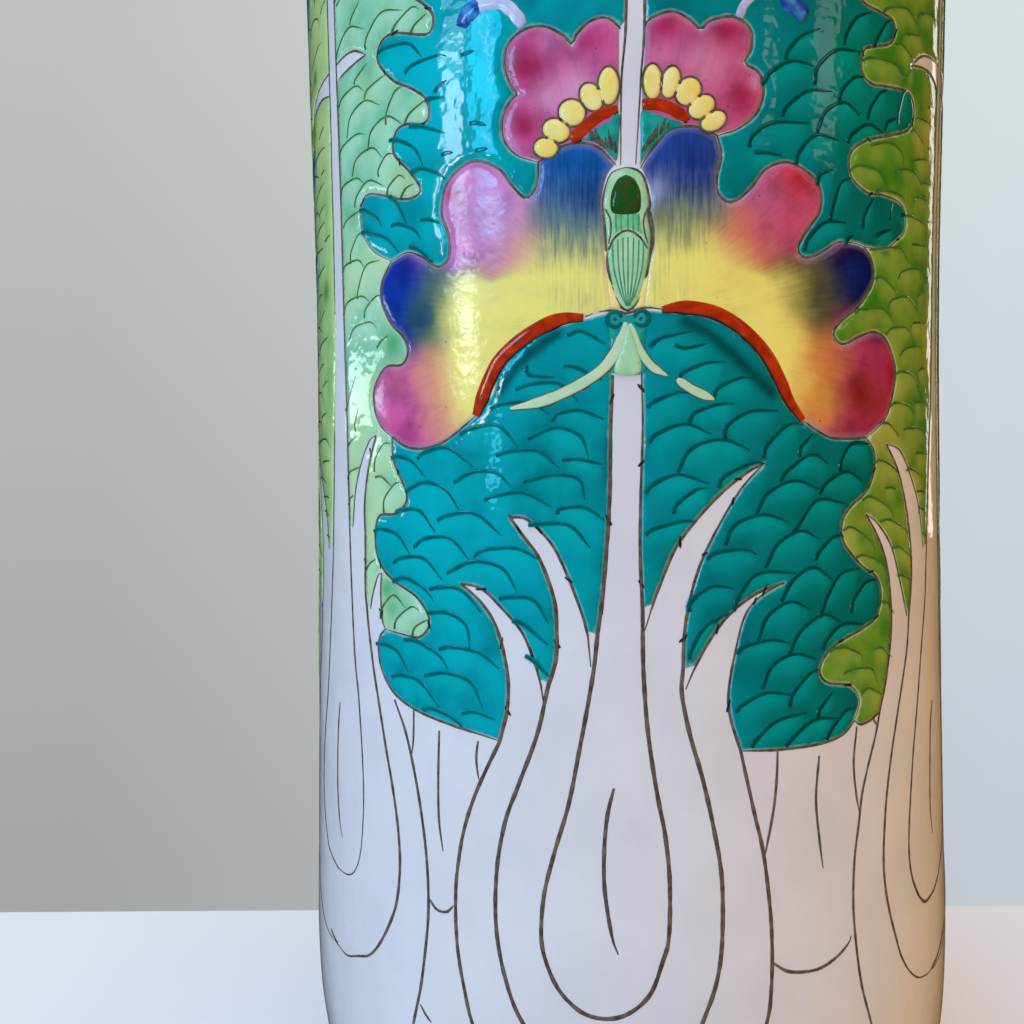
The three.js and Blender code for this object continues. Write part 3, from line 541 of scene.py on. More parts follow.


# Scale strokes: every leaf is covered with small arcs, each heavy where the brush came down.
# Those that the photo shows are points read off it, of which some were dropped by a program before the table was
# printed. Rows of like arcs carry them on up to the lip.
SCALES = {
    "teal_leaf_upper_left": [
        [(-41.6, 186.1), (-39.7, 186.4), (-34.4, 185.6), (-31.6, 182.8)],
        [(-35.3, 181.1), (-33.8, 182), (-28.4, 182.3), (-27, 181.8)], [(-29.4, 176.7), (-28.4, 177.6), (-27, 178.1)],
        [(-31.3, 176), (-29.4, 175.9), (-27.5, 175.6)], [(-34.7, 172.6), (-32.5, 172.2), (-27.5, 170.1)],
        [(-39.4, 171.4), (-37.5, 171.1), (-33.8, 169), (-31.9, 165.8)],
        [(-34.7, 165.2), (-32.5, 165.5), (-29.1, 164.2), (-27.7, 163.1)],
        [(-28.3, 166.8), (-27.2, 167), (-26.1, 166.8)],
        [(-48.1, 161.9), (-46.3, 161.5), (-42.8, 159.5), (-41.8, 157.9)],
        [(-39.7, 162.5), (-38.1, 161.2), (-35.6, 157.2)],
        [(-39.4, 157.6), (-37.5, 157.6), (-34.1, 156.1), (-32.8, 154.5)],
        [(-32.8, 157.4), (-30.9, 157.2), (-29.1, 156.4)],
        [(-47.7, 158.1), (-45.3, 157.6), (-40.6, 155.8), (-37.7, 153.1)],
        [(-35.3, 153.6), (-33.4, 152.9), (-30.3, 150.4)], [(-23.1, 170.8), (-21.6, 170.6), (-20.2, 170)],
        [(-22.2, 166.5), (-20, 166.5)], [(-24.4, 181.4), (-22, 181.6)],
    ],
    "teal_leaf_upper_right": [
        [(25.4, 178.6), (25.7, 180), (28.1, 182.6), (31.5, 184.2)],
        [(21.5, 174.5), (23.1, 176.7), (26.5, 178.6), (30.4, 178.4)],
        [(30.6, 175.6), (31, 178.3), (34.6, 181.5), (39.6, 182.3)],
        [(36.3, 182.6), (36.5, 184.2), (38.7, 187.3), (42, 189)],
        [(42.9, 183.8), (43.7, 185.4), (45.9, 188.4), (47.1, 189)],
        [(24.9, 170.1), (25.6, 171.7), (29.3, 174.5), (34, 175.1)],
        [(35.4, 173.9), (35.7, 175.4), (38.4, 178.1), (40.6, 178.6)],
        [(41.7, 172.2), (42.1, 173.9), (44.6, 177), (46.5, 177.8)],
        [(49.9, 173.3), (50, 175.1), (51.5, 178.6), (52.8, 179.3)],
        [(31, 168.4), (32.8, 172), (36.5, 173.9), (39.8, 172.5)],
        [(37.3, 167.8), (38.1, 169.3), (41.8, 171.5), (45.6, 170.9)], [(46.2, 171.4), (46.8, 172.9), (49.9, 174.3)],
        [(19.5, 165.1), (19.9, 166.7), (23.1, 169), (29.6, 169.7)],
        [(27.4, 163.3), (27.8, 165.1), (30.9, 168.1), (35.3, 167.9)], [(20.3, 164.5), (22.8, 164.5), (24.9, 164.3)],
        [(31.3, 160.6), (31.8, 162.3), (34.3, 163.3)], [(33.8, 155.4), (34.3, 157.6), (35.9, 161.5), (38.1, 162.5)],
        [(40.9, 155.1), (41.2, 157.3), (43.5, 160.4)], [(47.9, 157.3), (48.1, 159.2), (48.7, 160.4)],
        [(29, 150.4), (29.6, 152.3), (32.8, 155.1), (37.1, 155.5)], [(44.2, 154.3), (45.3, 155.1), (48.7, 156.2)],
        [(37, 152.2), (37.8, 153.3), (38.7, 153.7)], [(51.2, 158.8), (52.3, 159.2), (53.4, 159.3)],
    ],
    "teal_leaf_lower_left": [
        [(-7.8, 137.3), (-5.7, 137.9), (-2.2, 135.9)], [(-8.4, 132.7), (-6.8, 132.6), (-2.6, 130.5)],
        [(-14.1, 133.2), (-13.8, 131.7), (-9.7, 131.1)],
        [(-15.9, 129.5), (-13.8, 130.2), (-9.2, 130.2), (-6.3, 127.5)],
        [(-20.1, 126.7), (-18.5, 127.4), (-13.8, 127.5), (-10.6, 125.6)],
        [(-10.1, 124.5), (-9.5, 125.6), (-6, 126.1), (-2.5, 124.7)],
        [(-25.5, 123.1), (-23.5, 123.9), (-18.9, 124.2), (-15.5, 120.8)],
        [(-14, 122), (-9.8, 123.6), (-6, 122.3), (-4.7, 119)],
        [(-33.9, 119.5), (-32.6, 120.5), (-27.9, 121.1), (-23.1, 118)],
        [(-40.1, 119.9), (-38.5, 120.2), (-35.1, 119.2), (-32.3, 116.7)],
        [(-19.2, 119.6), (-17, 120.2), (-12.3, 120.1), (-9.2, 117.5)], [(-8.7, 118.7), (-6.3, 118.8), (-2.6, 118)],
        [(-26.7, 115.6), (-23.2, 117.2), (-19.2, 117), (-16.7, 114.8)],
        [(-14.8, 115.5), (-10.1, 116.5), (-6.2, 115.8), (-5.3, 112.7)],
        [(-36.7, 114.4), (-32.3, 115.8), (-28.2, 114.5), (-25.7, 111.4)],
        [(-21.2, 112.8), (-19.8, 113.4), (-14.8, 113.9), (-10.3, 111.7)],
        [(-9.6, 110.6), (-9.3, 111.4), (-5.4, 111.6), (-2.4, 109.7)],
        [(-39, 110.9), (-37.9, 111.4), (-33.5, 111.3), (-30.2, 107.8)],
        [(-29.9, 109.7), (-27.9, 110.5), (-22.9, 110.8), (-18.4, 107.5)],
        [(-14, 109), (-12, 109.2), (-7.6, 108.9), (-4.5, 105.5)],
        [(-44.8, 107.9), (-42.9, 108.4), (-38.5, 107.4), (-35.6, 104.3)],
        [(-34.8, 105.4), (-32.3, 106.9), (-27.3, 106.9), (-24.1, 103.8)],
        [(-23.1, 104.1), (-21.3, 105.2), (-16, 105.5), (-12.3, 103.8)],
        [(-39.6, 102.8), (-37.6, 103.7), (-32.6, 103.7), (-28.9, 100.4)],
        [(-28.1, 101.5), (-23.2, 103.4), (-18.2, 102.4), (-15.8, 98.8)],
        [(-39.8, 99.8), (-36.7, 100.5), (-32.3, 98.8), (-30.7, 97.1)],
        [(-31.5, 98.8), (-29.8, 99.2), (-25.4, 99), (-21.8, 95.6)],
        [(-18.8, 97.8), (-17, 98.1), (-13.2, 97.7), (-10.9, 94.2)],
        [(-32, 95.1), (-27.9, 95.3), (-24.5, 93.5), (-23.8, 89.8)], [(-16.7, 94.5), (-14.8, 94), (-11, 91)],
        [(-44.2, 89.3), (-42.3, 89.5), (-38.5, 88.5), (-36, 85.4)],
        [(-37, 90.5), (-34.2, 90.5), (-29.8, 88.7), (-27.8, 86.5)],
        [(-29.6, 89.5), (-27.3, 90), (-22.3, 89.4), (-18.7, 87.1)],
        [(-32.6, 85.1), (-28.5, 85.9), (-23.8, 84.8), (-21.5, 80.8)],
        [(-39.9, 84.2), (-38.2, 84.8), (-33.5, 84.1), (-29.6, 80.4)],
        [(-32.9, 79.7), (-31, 80.1), (-27.3, 79.1), (-25.1, 77.6)], [(-25.3, 79.8), (-23.2, 80.3), (-19.5, 79.3)],
        [(-14.6, 89.3), (-13.2, 88.5), (-10.9, 86.3)],
    ],
    "teal_leaf_lower_right": [
        [(4.3, 135.3), (6, 136.6), (10.7, 137.7)], [(8.1, 135.6), (9.5, 135.1), (12.9, 135.8)],
        [(8.7, 130), (9, 131.3), (12.6, 132.9), (15.6, 133.1)],
        [(13.8, 127.5), (14.5, 129.2), (17.9, 130.8), (20.1, 130.8)],
        [(4, 126.3), (5.1, 127.3), (8.7, 128.6), (10.3, 128.3)],
        [(10.2, 124.1), (10.9, 125.5), (14.5, 126.8), (17, 126.9)],
        [(15.6, 121.7), (15.9, 123.6), (19.5, 125.8), (24.3, 126)],
        [(4.3, 121.1), (5.1, 122.3), (9.5, 123.9), (13.6, 122.3)],
        [(8.4, 116.7), (10.4, 120.2), (15.1, 121.6), (19.6, 120)],
        [(21.7, 118.8), (22.3, 120.8), (25.7, 123.8), (27.9, 124.2)], [(27.9, 119.1), (28.1, 120.5), (30.4, 122.7)],
        [(35.7, 117), (36, 118.8), (38.2, 121.3), (42.3, 121.4)],
        [(24.5, 115.3), (25.7, 117), (30.1, 119.5), (33.4, 118.1)],
        [(14.5, 114.4), (15.4, 116.1), (19.8, 118.1), (22, 118)],
        [(3.6, 113.6), (4.8, 115), (8.5, 116.4), (13.1, 115)],
        [(20.4, 110.3), (22.3, 113.6), (27, 115.5), (31.5, 114.2)],
        [(31.5, 113.4), (32.9, 115.2), (37, 117), (40.6, 115.5)],
        [(7.8, 110.6), (8.2, 112), (11.3, 114.2), (12.8, 114.3)],
        [(26.8, 107.7), (27.9, 109.2), (31.2, 112.6), (36.7, 112)],
        [(15.4, 105.8), (17, 108.9), (21.7, 110.4), (25.9, 109.2)],
        [(3.6, 107.5), (4.8, 108.4), (9.2, 109.5), (11, 109.3)],
        [(21.8, 102.4), (24, 106), (28, 107.9), (31.3, 106.6)],
        [(30.7, 103.3), (31.3, 104.6), (34.1, 106.8), (36, 107.1)],
        [(12.7, 103.8), (14.1, 104.8), (18.5, 105.2), (20.5, 104.4)],
        [(9.9, 96), (10.2, 97.7), (13.5, 99.8), (16.8, 99.4)], [(16.8, 96), (17.4, 98), (20.7, 101.6), (27.2, 101.5)],
        [(20.5, 91.6), (22.2, 95.2), (26, 97.2), (29.7, 95.9)],
        [(24.4, 97.3), (26.6, 100.5), (30.3, 102.3), (34, 100.2)],
        [(31.3, 94.6), (33.2, 98.3), (35.7, 101.2), (39.7, 101.9)],
        [(37.8, 94.9), (38.2, 96.8), (41, 99.6), (44, 100)], [(25.7, 89.3), (27.8, 92.7), (31.9, 95), (35.5, 93.8)],
        [(31.9, 89.6), (32.5, 91), (35.7, 93.3), (40.3, 93.2)],
        [(17.1, 89.6), (18.5, 90.8), (22.8, 91.6), (26, 90.9)],
        [(21.1, 84.3), (22.8, 87.7), (26.6, 89.3), (30.7, 88.3)], [(25.8, 81.3), (26.1, 83), (29.1, 86), (31, 86.7)],
        [(16.9, 81), (17.5, 81.8), (21.6, 83.7), (25.8, 83.2)], [(30.9, 79.4), (31, 80.5), (33.8, 83.2)],
        [(19.4, 75.6), (19.7, 76.4), (23.5, 79.4), (28.8, 80.3)], [(25, 75.4), (26, 76.5), (30, 79.1), (34.4, 79)],
        [(32.4, 75.8), (32.8, 76.7), (36, 79.8), (38.3, 80.2)], [(10, 89), (10.2, 90.5), (12.5, 94), (16, 95.7)],
    ],
    "green_leaf_right": [
        [(-54, 198.3), (-52.2, 198.9)], [(-49.3, 193.3), (-49, 194.1), (-46.1, 196.3)],
        [(-54.5, 189.5), (-53.8, 190.8), (-49.7, 193), (-44.9, 191.2)],
        [(-44.7, 187.7), (-44.6, 189.3), (-40.5, 192.3), (-35.4, 191.2)],
        [(-38, 188.3), (-37.2, 189.3), (-33.4, 191.1), (-32, 190.3)], [(-34, 187), (-33, 188.1), (-30.5, 189.3)],
        [(-48.5, 183.1), (-48.2, 183.7), (-44.5, 185.4)],
        [(-54.3, 181.1), (-52.6, 182.2), (-48, 182.7), (-45.6, 181.1)],
        [(-45.5, 179.8), (-44.7, 181), (-39.9, 182.2)],
        [(-51.5, 175), (-50.1, 178.1), (-45.5, 179.5), (-41.4, 177.7)],
        [(-40, 174.1), (-39.8, 176), (-37.6, 178.9), (-35.5, 179.3)],
        [(-35.7, 173.1), (-34.7, 174.5), (-30.9, 176.1)],
        [(-54.9, 172.7), (-53.4, 173.9), (-48.4, 174.7), (-45.6, 174)],
        [(-45, 171.1), (-43.8, 174.1), (-39.7, 175.4), (-36.1, 173.3)],
        [(-50.1, 168.1), (-48.6, 170.6), (-43.8, 171.3), (-40.9, 168.9)],
        [(-42.2, 166.2), (-42.3, 167.3), (-40.1, 169.3), (-38.4, 169.1)],
        [(-54.7, 166), (-53.4, 167.3), (-48.8, 167.5), (-46.3, 166)],
        [(-49.5, 162.7), (-49, 164.3), (-45.1, 166.2), (-40.8, 164.4)],
        [(-40.2, 162.5), (-39.9, 163.9), (-37.2, 165.4), (-35.9, 164.5)],
        [(-37, 161.6), (-35.9, 162.9), (-34, 163.4)], [(-54, 160.2), (-52.6, 161.2), (-48, 161.9)],
        [(-51.4, 153.5), (-51.3, 155.4), (-48.8, 157.9), (-47.2, 158.1)],
        [(-54.9, 152.7), (-53.4, 153.7), (-48.8, 153.7), (-46.8, 151.8)],
        [(-49.3, 147.2), (-49.1, 148.7), (-46.5, 152.3), (-42.4, 152.6)],
        [(-54.7, 145.3), (-53, 147.2), (-48, 147.5), (-45.5, 146.2)],
        [(-47.1, 143.7), (-46.8, 145.1), (-43.8, 146.8), (-42.2, 146.8)],
        [(-52.4, 140.8), (-50.5, 142.5), (-45.5, 142.8), (-43.6, 141.6)],
        [(-43.6, 138.3), (-42.4, 139.3), (-40.5, 140)], [(-54.3, 128.7), (-53, 130.5), (-50.3, 134.3)],
        [(-50.5, 124.9), (-50.7, 126.4), (-49.5, 128.7)], [(-53.4, 122.6), (-51.8, 123.5), (-50.3, 123.9)],
        [(-53.5, 116.8), (-52.8, 118), (-49, 118.8)], [(-53.3, 112.4), (-52.6, 113.5), (-51.1, 114.1)],
        [(-44.5, 117.8), (-44.3, 119.9), (-42, 122.3), (-40.1, 122.3)],
        [(-44.3, 116.9), (-42.6, 117), (-39.9, 115.3)], [(-42, 111), (-41.8, 113.3), (-39, 115.8), (-37.6, 115.8)],
        [(-47.2, 101.4), (-45.9, 102.6), (-44.3, 103.3)],
        [(-42.9, 93.5), (-42.6, 95.2), (-39.5, 97.6), (-36.7, 95.7)],
        [(-39.3, 92.1), (-38.8, 93.7), (-35.4, 95.9), (-33.7, 95.4)], [(-35.3, 91), (-34.5, 92.7), (-31.8, 94.1)],
    ],
    "green_leaf_left": [
        [(51, 187.8), (52.7, 188.5), (57.7, 189.7)], [(45.2, 189.8), (46.8, 191), (52.3, 192.3), (56.3, 190.4)],
        [(55.8, 192.3), (57.7, 193.4), (63.1, 195), (65.2, 195)], [(48.5, 186), (50.6, 186.2), (54.8, 184.8)],
        [(40.2, 181), (42.3, 182), (48.5, 182.6), (51.6, 181)], [(52.5, 181.6), (53.9, 182.9), (55, 183.9)],
        [(55.8, 175.3), (57.7, 176.1), (62.7, 176.6), (65.2, 176.3)], [(61.4, 178.9), (63.1, 179.7), (65.2, 180.1)],
        [(54.3, 173.1), (56, 173.7), (60, 172.3)], [(61.8, 172.3), (64.3, 172.7)],
        [(55.4, 168.4), (56.8, 169.1), (61.8, 170.3), (63.9, 170.4)],
        [(42.5, 168.4), (47.3, 169.8), (51.4, 168.9), (51.8, 166.8)],
        [(49.5, 165.4), (50.6, 166.2), (56, 166.9), (59.8, 165)], [(58.5, 165.6), (61, 166.2), (63.9, 166.6)],
        [(37.9, 163.7), (39.8, 164.8), (44.3, 164.8), (47, 162.9)], [(55.8, 162.2), (57.7, 163.1), (63.1, 163.5)],
        [(44.1, 161), (46, 162), (51.4, 162), (53.1, 161)],
        [(53.1, 159.1), (54.8, 159.4), (59.3, 159.3), (61.8, 159.1)], [(62.7, 160), (64.8, 160.4), (66, 160.5)],
        [(55.4, 154.8), (57.7, 155.2), (62.9, 155.8)], [(42.5, 152), (45.2, 152.5), (51.4, 153.5), (54.5, 151)],
        [(50.5, 148.4), (52.5, 150), (57.4, 151.2), (60.1, 150.9)], [(57.9, 146.6), (59.7, 147.5), (61.4, 147.9)],
        [(43.9, 147.6), (45.8, 148.1), (50.3, 146.2)], [(47.5, 143.5), (48.9, 144.9), (53.9, 145.9), (58.5, 144)],
        [(55.2, 141.1), (57, 142.1), (62.8, 142.8)], [(39.1, 141.7), (40.9, 142.6), (46.3, 143), (49.8, 140.8)],
        [(46.9, 139.1), (48.9, 140.3), (53.9, 140.8), (56.2, 138.6)],
        [(51.2, 136), (53, 137.3), (57.4, 138.3), (59.9, 138.1)], [(58.3, 134.2), (60.1, 134.8), (61.9, 134.9)],
        [(49.6, 132.8), (51.6, 133.5), (56.1, 133.2), (59.1, 130.6)], [(56.3, 128.7), (58.3, 129.1), (61, 129.2)],
        [(48, 127.5), (49.8, 128.3), (54.8, 127.9), (56.7, 125.6)],
        [(52.2, 123.9), (53.9, 124.4), (59.7, 124.5), (62.7, 122.8)], [(45.4, 124.7), (47.6, 124.8), (51.4, 122.5)],
        [(56.5, 120.2), (58.3, 120.5), (62.8, 120.4)], [(53.2, 117.4), (55.6, 117.7), (59.9, 116.3)],
        [(43.2, 118.2), (45.4, 118.9), (49.8, 117.4), (50.3, 116.3)], [(46.3, 114.4), (48.1, 114.6), (50.3, 114.1)],
        [(40.5, 112.5), (42.7, 113.1), (47.6, 111.2), (48.7, 109.6)], [(57.2, 114), (59.2, 114.1), (61.7, 113.7)],
        [(58.1, 111.5), (59.7, 111.2), (61.4, 110.3)], [(44.9, 109.1), (47.6, 109.4), (52.5, 107.8), (53.4, 106.7)],
        [(36.2, 107.8), (38.2, 108.3), (42.5, 106), (43.5, 104.5)],
        [(38.5, 103.3), (40.9, 103.9), (45.6, 102.4), (46.9, 101.3)], [(48.3, 104.8), (50.7, 104.9), (55.1, 102.9)],
        [(49.8, 100.3), (51.6, 100.3), (54.3, 99.4)], [(45.1, 96.3), (46.7, 96.2), (48.6, 94.2)],
        [(59.7, 107.1), (61.7, 106.5)], [(42.7, 89), (44.9, 89.1), (47.8, 87.3)],
        [(32.8, 89.3), (35.7, 89.9), (40, 88.3), (40.2, 87.3)], [(36, 85.6), (37.5, 86.2), (42.2, 86), (43.6, 83.7)],
        [(39.9, 82.3), (41.6, 83), (45, 81.6)],
    ],
}
# Height where the rows begin, above the arcs that the photo shows
ROWS_FROM = {
    "teal_leaf_upper_left": 191, "teal_leaf_upper_right": 192.5, "green_leaf_right": 197, "green_leaf_left": 198,
}
# One arc of a right half leaf, for a width of 1. Left half leaves have its mirror image.
SCALE_SHAPE = np.array([(0, 0), (0.02, 0.14), (0.14, 0.31), (0.35, 0.41), (0.59, 0.45), (0.84, 0.4), (1, 0.27)])
SCALE_WIDTH = 8.6
SCALE_PITCH = 4.5


def scale_paths(name, contour, seed):
    """The arcs of one field, as paths from their heavy end."""
    paths = [curve_through(points, 0.7) for points in SCALES[name]]
    if name not in ROWS_FROM:
        return paths
    chance = np.random.default_rng(seed)
    rising = name in ("teal_leaf_upper_right", "green_leaf_right")
    shape = SCALE_SHAPE if rising else np.column_stack([1 - SCALE_SHAPE[::-1, 0], SCALE_SHAPE[::-1, 1]])
    left, right = contour[:, 0].min(), contour[:, 0].max()
    for row, z in enumerate(np.arange(ROWS_FROM[name], contour[:, 1].max(), SCALE_PITCH)):
        for s in np.arange(left - SCALE_WIDTH * (0.5 if row % 2 else 1), right, SCALE_WIDTH * 0.97):
            size = SCALE_WIDTH * chance.uniform(0.88, 1.12)
            place = np.array([s, z]) + chance.normal(0, 0.5, 2)
            path = curve_through(place + size * shape * (1, chance.uniform(0.85, 1.1)), 0.7)
            keep = inside(contour, path)
            cuts = np.where(np.diff(keep.astype(int)))[0] + 1
            runs = [run for run, kept in zip(np.split(path, cuts), np.split(keep, cuts)) if kept[0]]
            if runs and len(max(runs, key=len)) > 4:
                paths.append(max(runs, key=len))
    return paths


def arc_tone(points, paths):
    """Paler just below each arc and darker just above it, as the brush left the colour."""
    tone = np.zeros(len(points))
    for path in paths:
        order = np.argsort(path[:, 0])
        low, high = path.min(0), path.max(0)
        s, z = points.T
        near = np.where((s > low[0]) & (s < high[0]) & (z > low[1] - 4) & (z < high[1] + 3))[0]
        below = np.interp(s[near], path[order, 0], path[order, 1]) - z[near]
        side = np.sin(np.pi * (s[near] - low[0]) / (high[0] - low[0])) ** 0.5
        light = np.where(below > 0, below * np.exp(1 - below), 0)
        dark = np.where(below <= 0, -np.exp(below / 0.9), 0)
        tone[near] += side * (0.7 * light + 0.75 * dark)
    return np.clip(tone, -1, 1)


# Finishes

# Ripples of the leaf enamels, in millimetres: cell, depth, fine cell
LEAF_RIPPLE = (8, 0.2, 1.9)


def srgb(hex_colour, alpha=1.0):
    """A written colour as Blender's linear one."""
    parts = [int(hex_colour[i:i + 2], 16) / 255 for i in (1, 3, 5)]
    return tuple(c / 12.92 if c <= 0.04045 else ((c + 0.055) / 1.055) ** 2.4 for c in parts) + (alpha,)


def new_finish(name, **shader):
    """A material with its Principled shader's own sockets filled."""
    material = bpy.data.materials.new(name)
    material.use_nodes = True
    tree = material.node_tree
    principled = tree.nodes["Principled BSDF"]
    for key, value in shader.items():
        principled.inputs[key.replace("_", " ")].default_value = value
    return material, tree, principled


def maths(tree, operation, *values):
    """What a Math node makes of numbers or of other nodes' outputs."""
    inputs = {f"i{number}": value for number, value in enumerate(values)}
    return add_node(tree, "ShaderNodeMath", {"operation": operation}, **inputs).outputs[0]


def noise(tree, place, cell_mm, detail, **settings):
    """Cloudy noise with cells of about that size."""
    node = add_node(tree, "ShaderNodeTexNoise", Vector=place, Scale=PER_METRE / cell_mm, Detail=detail, **settings)
    return node.outputs["Fac"]


def cells(tree, place, cell_mm):
    """Scattered cells: the distance from the middle of each, and a number of its own between 0 and 1."""
    dots = add_node(tree, "ShaderNodeTexVoronoi", Vector=place, Scale=PER_METRE / cell_mm)
    own = add_node(tree, "ShaderNodeSeparateColor", Color=dots.outputs["Color"])
    return dots.outputs["Distance"], own.outputs[0]


def mix_colour(tree, share, first, second, blend="MIX"):
    """A Mix node for colours."""
    node = add_node(tree, "ShaderNodeMix", {"data_type": "RGBA", "blend_type": blend, "clamp_factor": True},
                    i0=share, i6=first, i7=second)
    return node.outputs[2]


def value_at(tree, name, output="Fac"):
    """A value that the mesh carries at its points."""
    return add_node(tree, "ShaderNodeAttribute", {"attribute_name": name}).outputs[output]


def curve_range(tree, value, low, high, to_low=0.0, to_high=1.0):
    """A value from one range in another, held at its two ends."""
    node = add_node(tree, "ShaderNodeMapRange", Value=value)
    for key, number in zip(("From Min", "From Max", "To Min", "To Max"), (low, high, to_low, to_high)):
        node.inputs[key].default_value = number
    return node.outputs[0]


def mottled(tree, place, cell_mm, detail, low, high, first, second):
    """Two written colours mixed by noise, the second where the noise is above the range."""
    share = curve_range(tree, noise(tree, place, cell_mm, detail), low, high)
    return mix_colour(tree, share, srgb(first), srgb(second))


def glaze_ripple(tree, principled, cell_mm, depth_mm, fine_mm=None):
    """Fired glass is never quite level: slow ripples that bend what it mirrors. Returns the place on the object."""
    place = add_node(tree, "ShaderNodeTexCoord").outputs["Object"]
    height = noise(tree, place, cell_mm, 2.0, Roughness=0.45)
    if fine_mm:
        height = maths(tree, "MULTIPLY_ADD", noise(tree, place, fine_mm, 1.0), 0.3, height)
    bump = add_node(tree, "ShaderNodeBump", Height=height, Distance=depth_mm * MM, Strength=1.0)
    tree.links.new(bump.outputs[0], principled.inputs["Normal"])
    return place


def porcelain():
    """Hard-paste porcelain under a clear feldspar glaze: cool white, faintly mottled, with pin holes and
    specks of iron, and a mirror-like skin that ripples a little."""
    material, tree, shader = new_finish("clear_glazed_porcelain", Roughness=0.07, IOR=1.5)
    place = glaze_ripple(tree, shader, 11, 0.16, 2.4)
    body = mottled(tree, place, 14, 4.0, 0.35, 0.65, "#d5d8df", "#dde0e6")
    distance, own = cells(tree, place, 9)
    dot = curve_range(tree, distance, 0.012, 0.022, 1.0, 0.0)
    share = maths(tree, "MULTIPLY", dot, maths(tree, "GREATER_THAN", own, 0.8))
    tree.links.new(mix_colour(tree, share, body, srgb("#5a4a40")), shader.inputs["Base Color"])
    return material


def biscuit():
    """Unglazed porcelain foot: matt, sandy buff, and grainy."""
    material, tree, shader = new_finish("unglazed_biscuit_foot", Roughness=0.82)
    grain = noise(tree, add_node(tree, "ShaderNodeTexCoord").outputs["Object"], 0.9, 5.0)
    tone = mix_colour(tree, curve_range(tree, grain, 0.35, 0.7), srgb("#c9bba3"), srgb("#b09f86"))
    tree.links.new(tone, shader.inputs["Base Color"])
    bump = add_node(tree, "ShaderNodeBump", Height=grain, Distance=0.08 * MM, Strength=1.0)
    tree.links.new(bump.outputs[0], shader.inputs["Normal"])
    return material


def leaf_enamel(name, deep, plain, light, pool_colour, shade, rim):
    """Translucent overglaze enamel: pooled darker and paler by the brush, thin and pale at its edge, and on the teal
    darkened towards the right with painted shade.
    """
    material, tree, shader = new_finish(name, Roughness=0.07, IOR=1.52)
    place = glaze_ripple(tree, shader, *LEAF_RIPPLE)
    tone = value_at(tree, "tone")
    washed = mottled(tree, place, 7, 3.0, 0.37, 0.63, deep, plain)
    pool = curve_range(tree, noise(tree, place, 16, 2.0), 0.46, 0.66, 0.0, 0.7)
    pooled = mix_colour(tree, pool, washed, srgb(pool_colour))
    # Painted shade: towards the right of the teal the colour goes over to the shade colour
    painted_shade = curve_range(tree, value_at(tree, "painted_shade"), 0.0, 1.0, 0.0, 0.85)
    shaded = mix_colour(tree, painted_shade, pooled, srgb(shade))
    paler = mix_colour(tree, curve_range(tree, tone, 0.0, 1.0, 0.0, 0.55), shaded, srgb(light))
    dark = mix_colour(tree, 0.45, srgb(deep), srgb(shade))
    darker = mix_colour(tree, curve_range(tree, tone, 0.0, -1.0, 0.0, 0.6), paler, dark)
    # Touches of other colours, and painted light on the left of the teal
    touched = mix_colour(tree, value_at(tree, "dab_and_painted_light", "Alpha"), darker, value_at(tree, "dab_and_painted_light", "Color"))
    ragged = maths(tree, "MULTIPLY_ADD", noise(tree, place, 1.5, 2.0), 0.5, value_at(tree, "edge"))
    thin = mix_colour(tree, curve_range(tree, ragged, 0.2, 0.62, 0.75, 0.0), touched, srgb(rim))
    tree.links.new(thin, shader.inputs["Base Color"])
    return material


# Hair lines of a brush drawn straight down: how many cross a metre round the wall, and up it
HAIR_LINES = (2600, 2600, 170)


